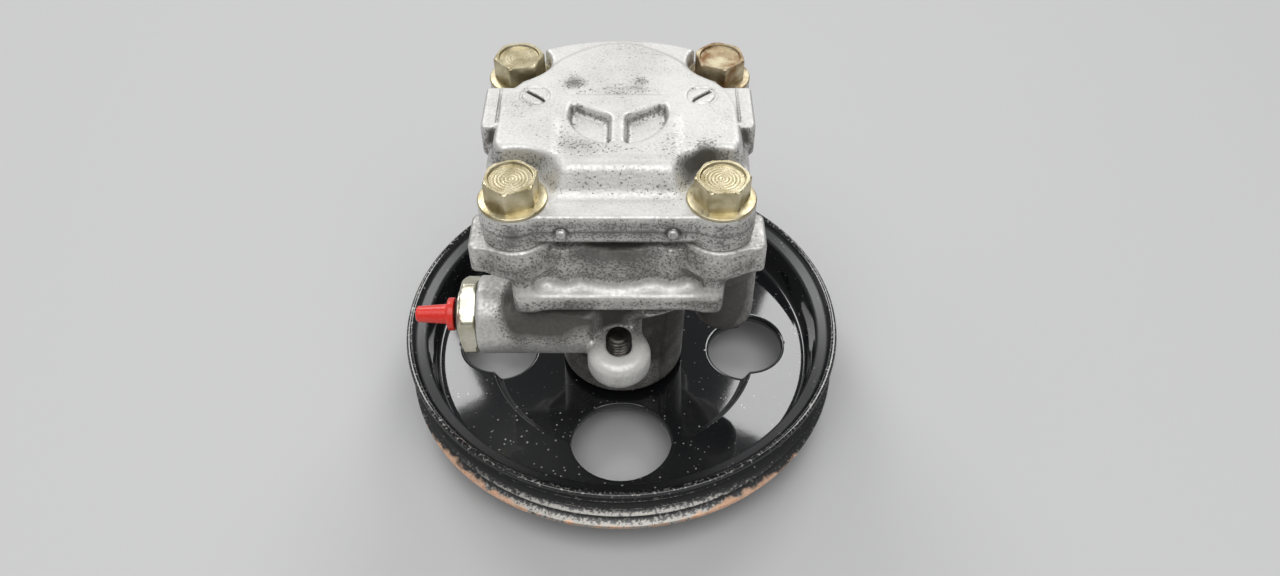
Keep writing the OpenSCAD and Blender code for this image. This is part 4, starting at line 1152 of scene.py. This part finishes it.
# Area lamps: place and size in metres, power in watts
LAMPS = (
    ("back_wall", (0.0, 1.6, 0.7), (2.4, 0.8), 5.0),
    ("top_softbox", (0.0, -0.4, 1.15), (1.3, 0.9), 9.4),
    ("back_left_softbox", (-0.63, 0.95, 1.17), (0.62, 0.42), 5.2),
    ("back_right_softbox", (0.5, 0.95, 1.2), (0.62, 0.42), 5.2),
    ("front_fill", (0.3, -0.9, 0.7), (1.2, 0.8), 1.2),
    ("left_fill", (-1.0, 0.1, 0.6), (1.6, 1.0), 1.2),
)
LAMP_AIM = Vector((0, 0, 0.06))
FLOOR_HALF = 1500.0


class PUMP_OT_stage(bpy.types.Operator):
    """Pale floor, soft studio light and the camera"""

    bl_idname = "pump.stage"
    bl_label = "Stage"

    def execute(self, context):
        look = context.scene.pump_stage_look
        scene = context.scene
        scene.view_settings.view_transform = "Standard"
        lens = bpy.data.cameras.new("camera")
        lens.sensor_width, lens.lens = 36.0, look.lens
        lens.clip_start, lens.clip_end = 0.01, 20
        camera = bpy.data.objects.new("camera", lens)
        camera.location = look.spot
        camera.rotation_euler = (look.tilt, 0, 0)
        scene.collection.objects.link(camera)
        scene.camera = camera
        corners = np.array([(-1, -1, 0), (1, -1, 0), (1, 1, 0), (-1, 1, 0)]) * FLOOR_HALF
        mesh = new_mesh("floor", corners, np.array([[0, 1, 2, 3]]))
        floor = bpy.data.objects.new("floor", mesh)
        scene.collection.objects.link(floor)

        def card(tree, place):
            sockets = {"Base Color": linear(look.floor), "Roughness": 0.8}
            return add_node(tree, "BsdfPrincipled", "BSDF", sockets)

        mesh.materials.append(new_material("matt_card", card))
        for name, spot, size, power in LAMPS:
            lamp = bpy.data.lights.new(name, "AREA")
            lamp.shape = "RECTANGLE"
            (lamp.size, lamp.size_y), lamp.energy = size, power
            lit = bpy.data.objects.new(name, lamp)
            lit.location = spot
            away = Vector(spot) - LAMP_AIM
            lit.rotation_euler = away.to_track_quat("Z", "Y").to_euler()
            scene.collection.objects.link(lit)
        world = bpy.data.worlds.new("studio")
        world.use_nodes = True
        back = world.node_tree.nodes["Background"]
        back.inputs["Color"].default_value = linear("#DADBDD")
        back.inputs["Strength"].default_value = 0.24
        scene.world = world
        return {"FINISHED"}


OPERATORS = (
    PUMP_OT_stage,
    PUMP_OT_pulley,
    PUMP_OT_body,
    PUMP_OT_cover,
    PUMP_OT_bolts,
    PUMP_OT_stud,
    PUMP_OT_switch,
    PUMP_OT_cap,
    PUMP_OT_inner_parts,
)


class PUMP_PT_panel(bpy.types.Panel):
    """Lists the makers of the pump's pieces"""

    bl_idname = "PUMP_PT_panel"
    bl_label = "Steering pump"
    bl_space_type = "VIEW_3D"
    bl_region_type = "UI"
    bl_category = "Pump"

    def draw(self, context):
        for operator in OPERATORS:
            self.layout.operator(operator.bl_idname)
        for name, group in LOOKS.items():
            for prop in group.__annotations__:
                self.layout.prop(getattr(context.scene, name), prop)


CLASSES = (*LOOKS.values(), *OPERATORS, PUMP_PT_panel)


def register():
    """Registers the classes and hangs the settings on the scene."""
    for item in CLASSES:
        bpy.utils.register_class(item)
    for name, group in LOOKS.items():
        setattr(bpy.types.Scene, name, PointerProperty(type=group))


def unregister():
    """Takes the settings and classes away again."""
    for name in LOOKS:
        delattr(bpy.types.Scene, name)
    for item in reversed(CLASSES):
        bpy.utils.unregister_class(item)


def main():
    """Makes every piece in order."""
    register()
    for operator in OPERATORS:
        group, name = operator.bl_idname.split(".")
        getattr(getattr(bpy.ops, group), name)()


if __name__ == "__main__":
    main()
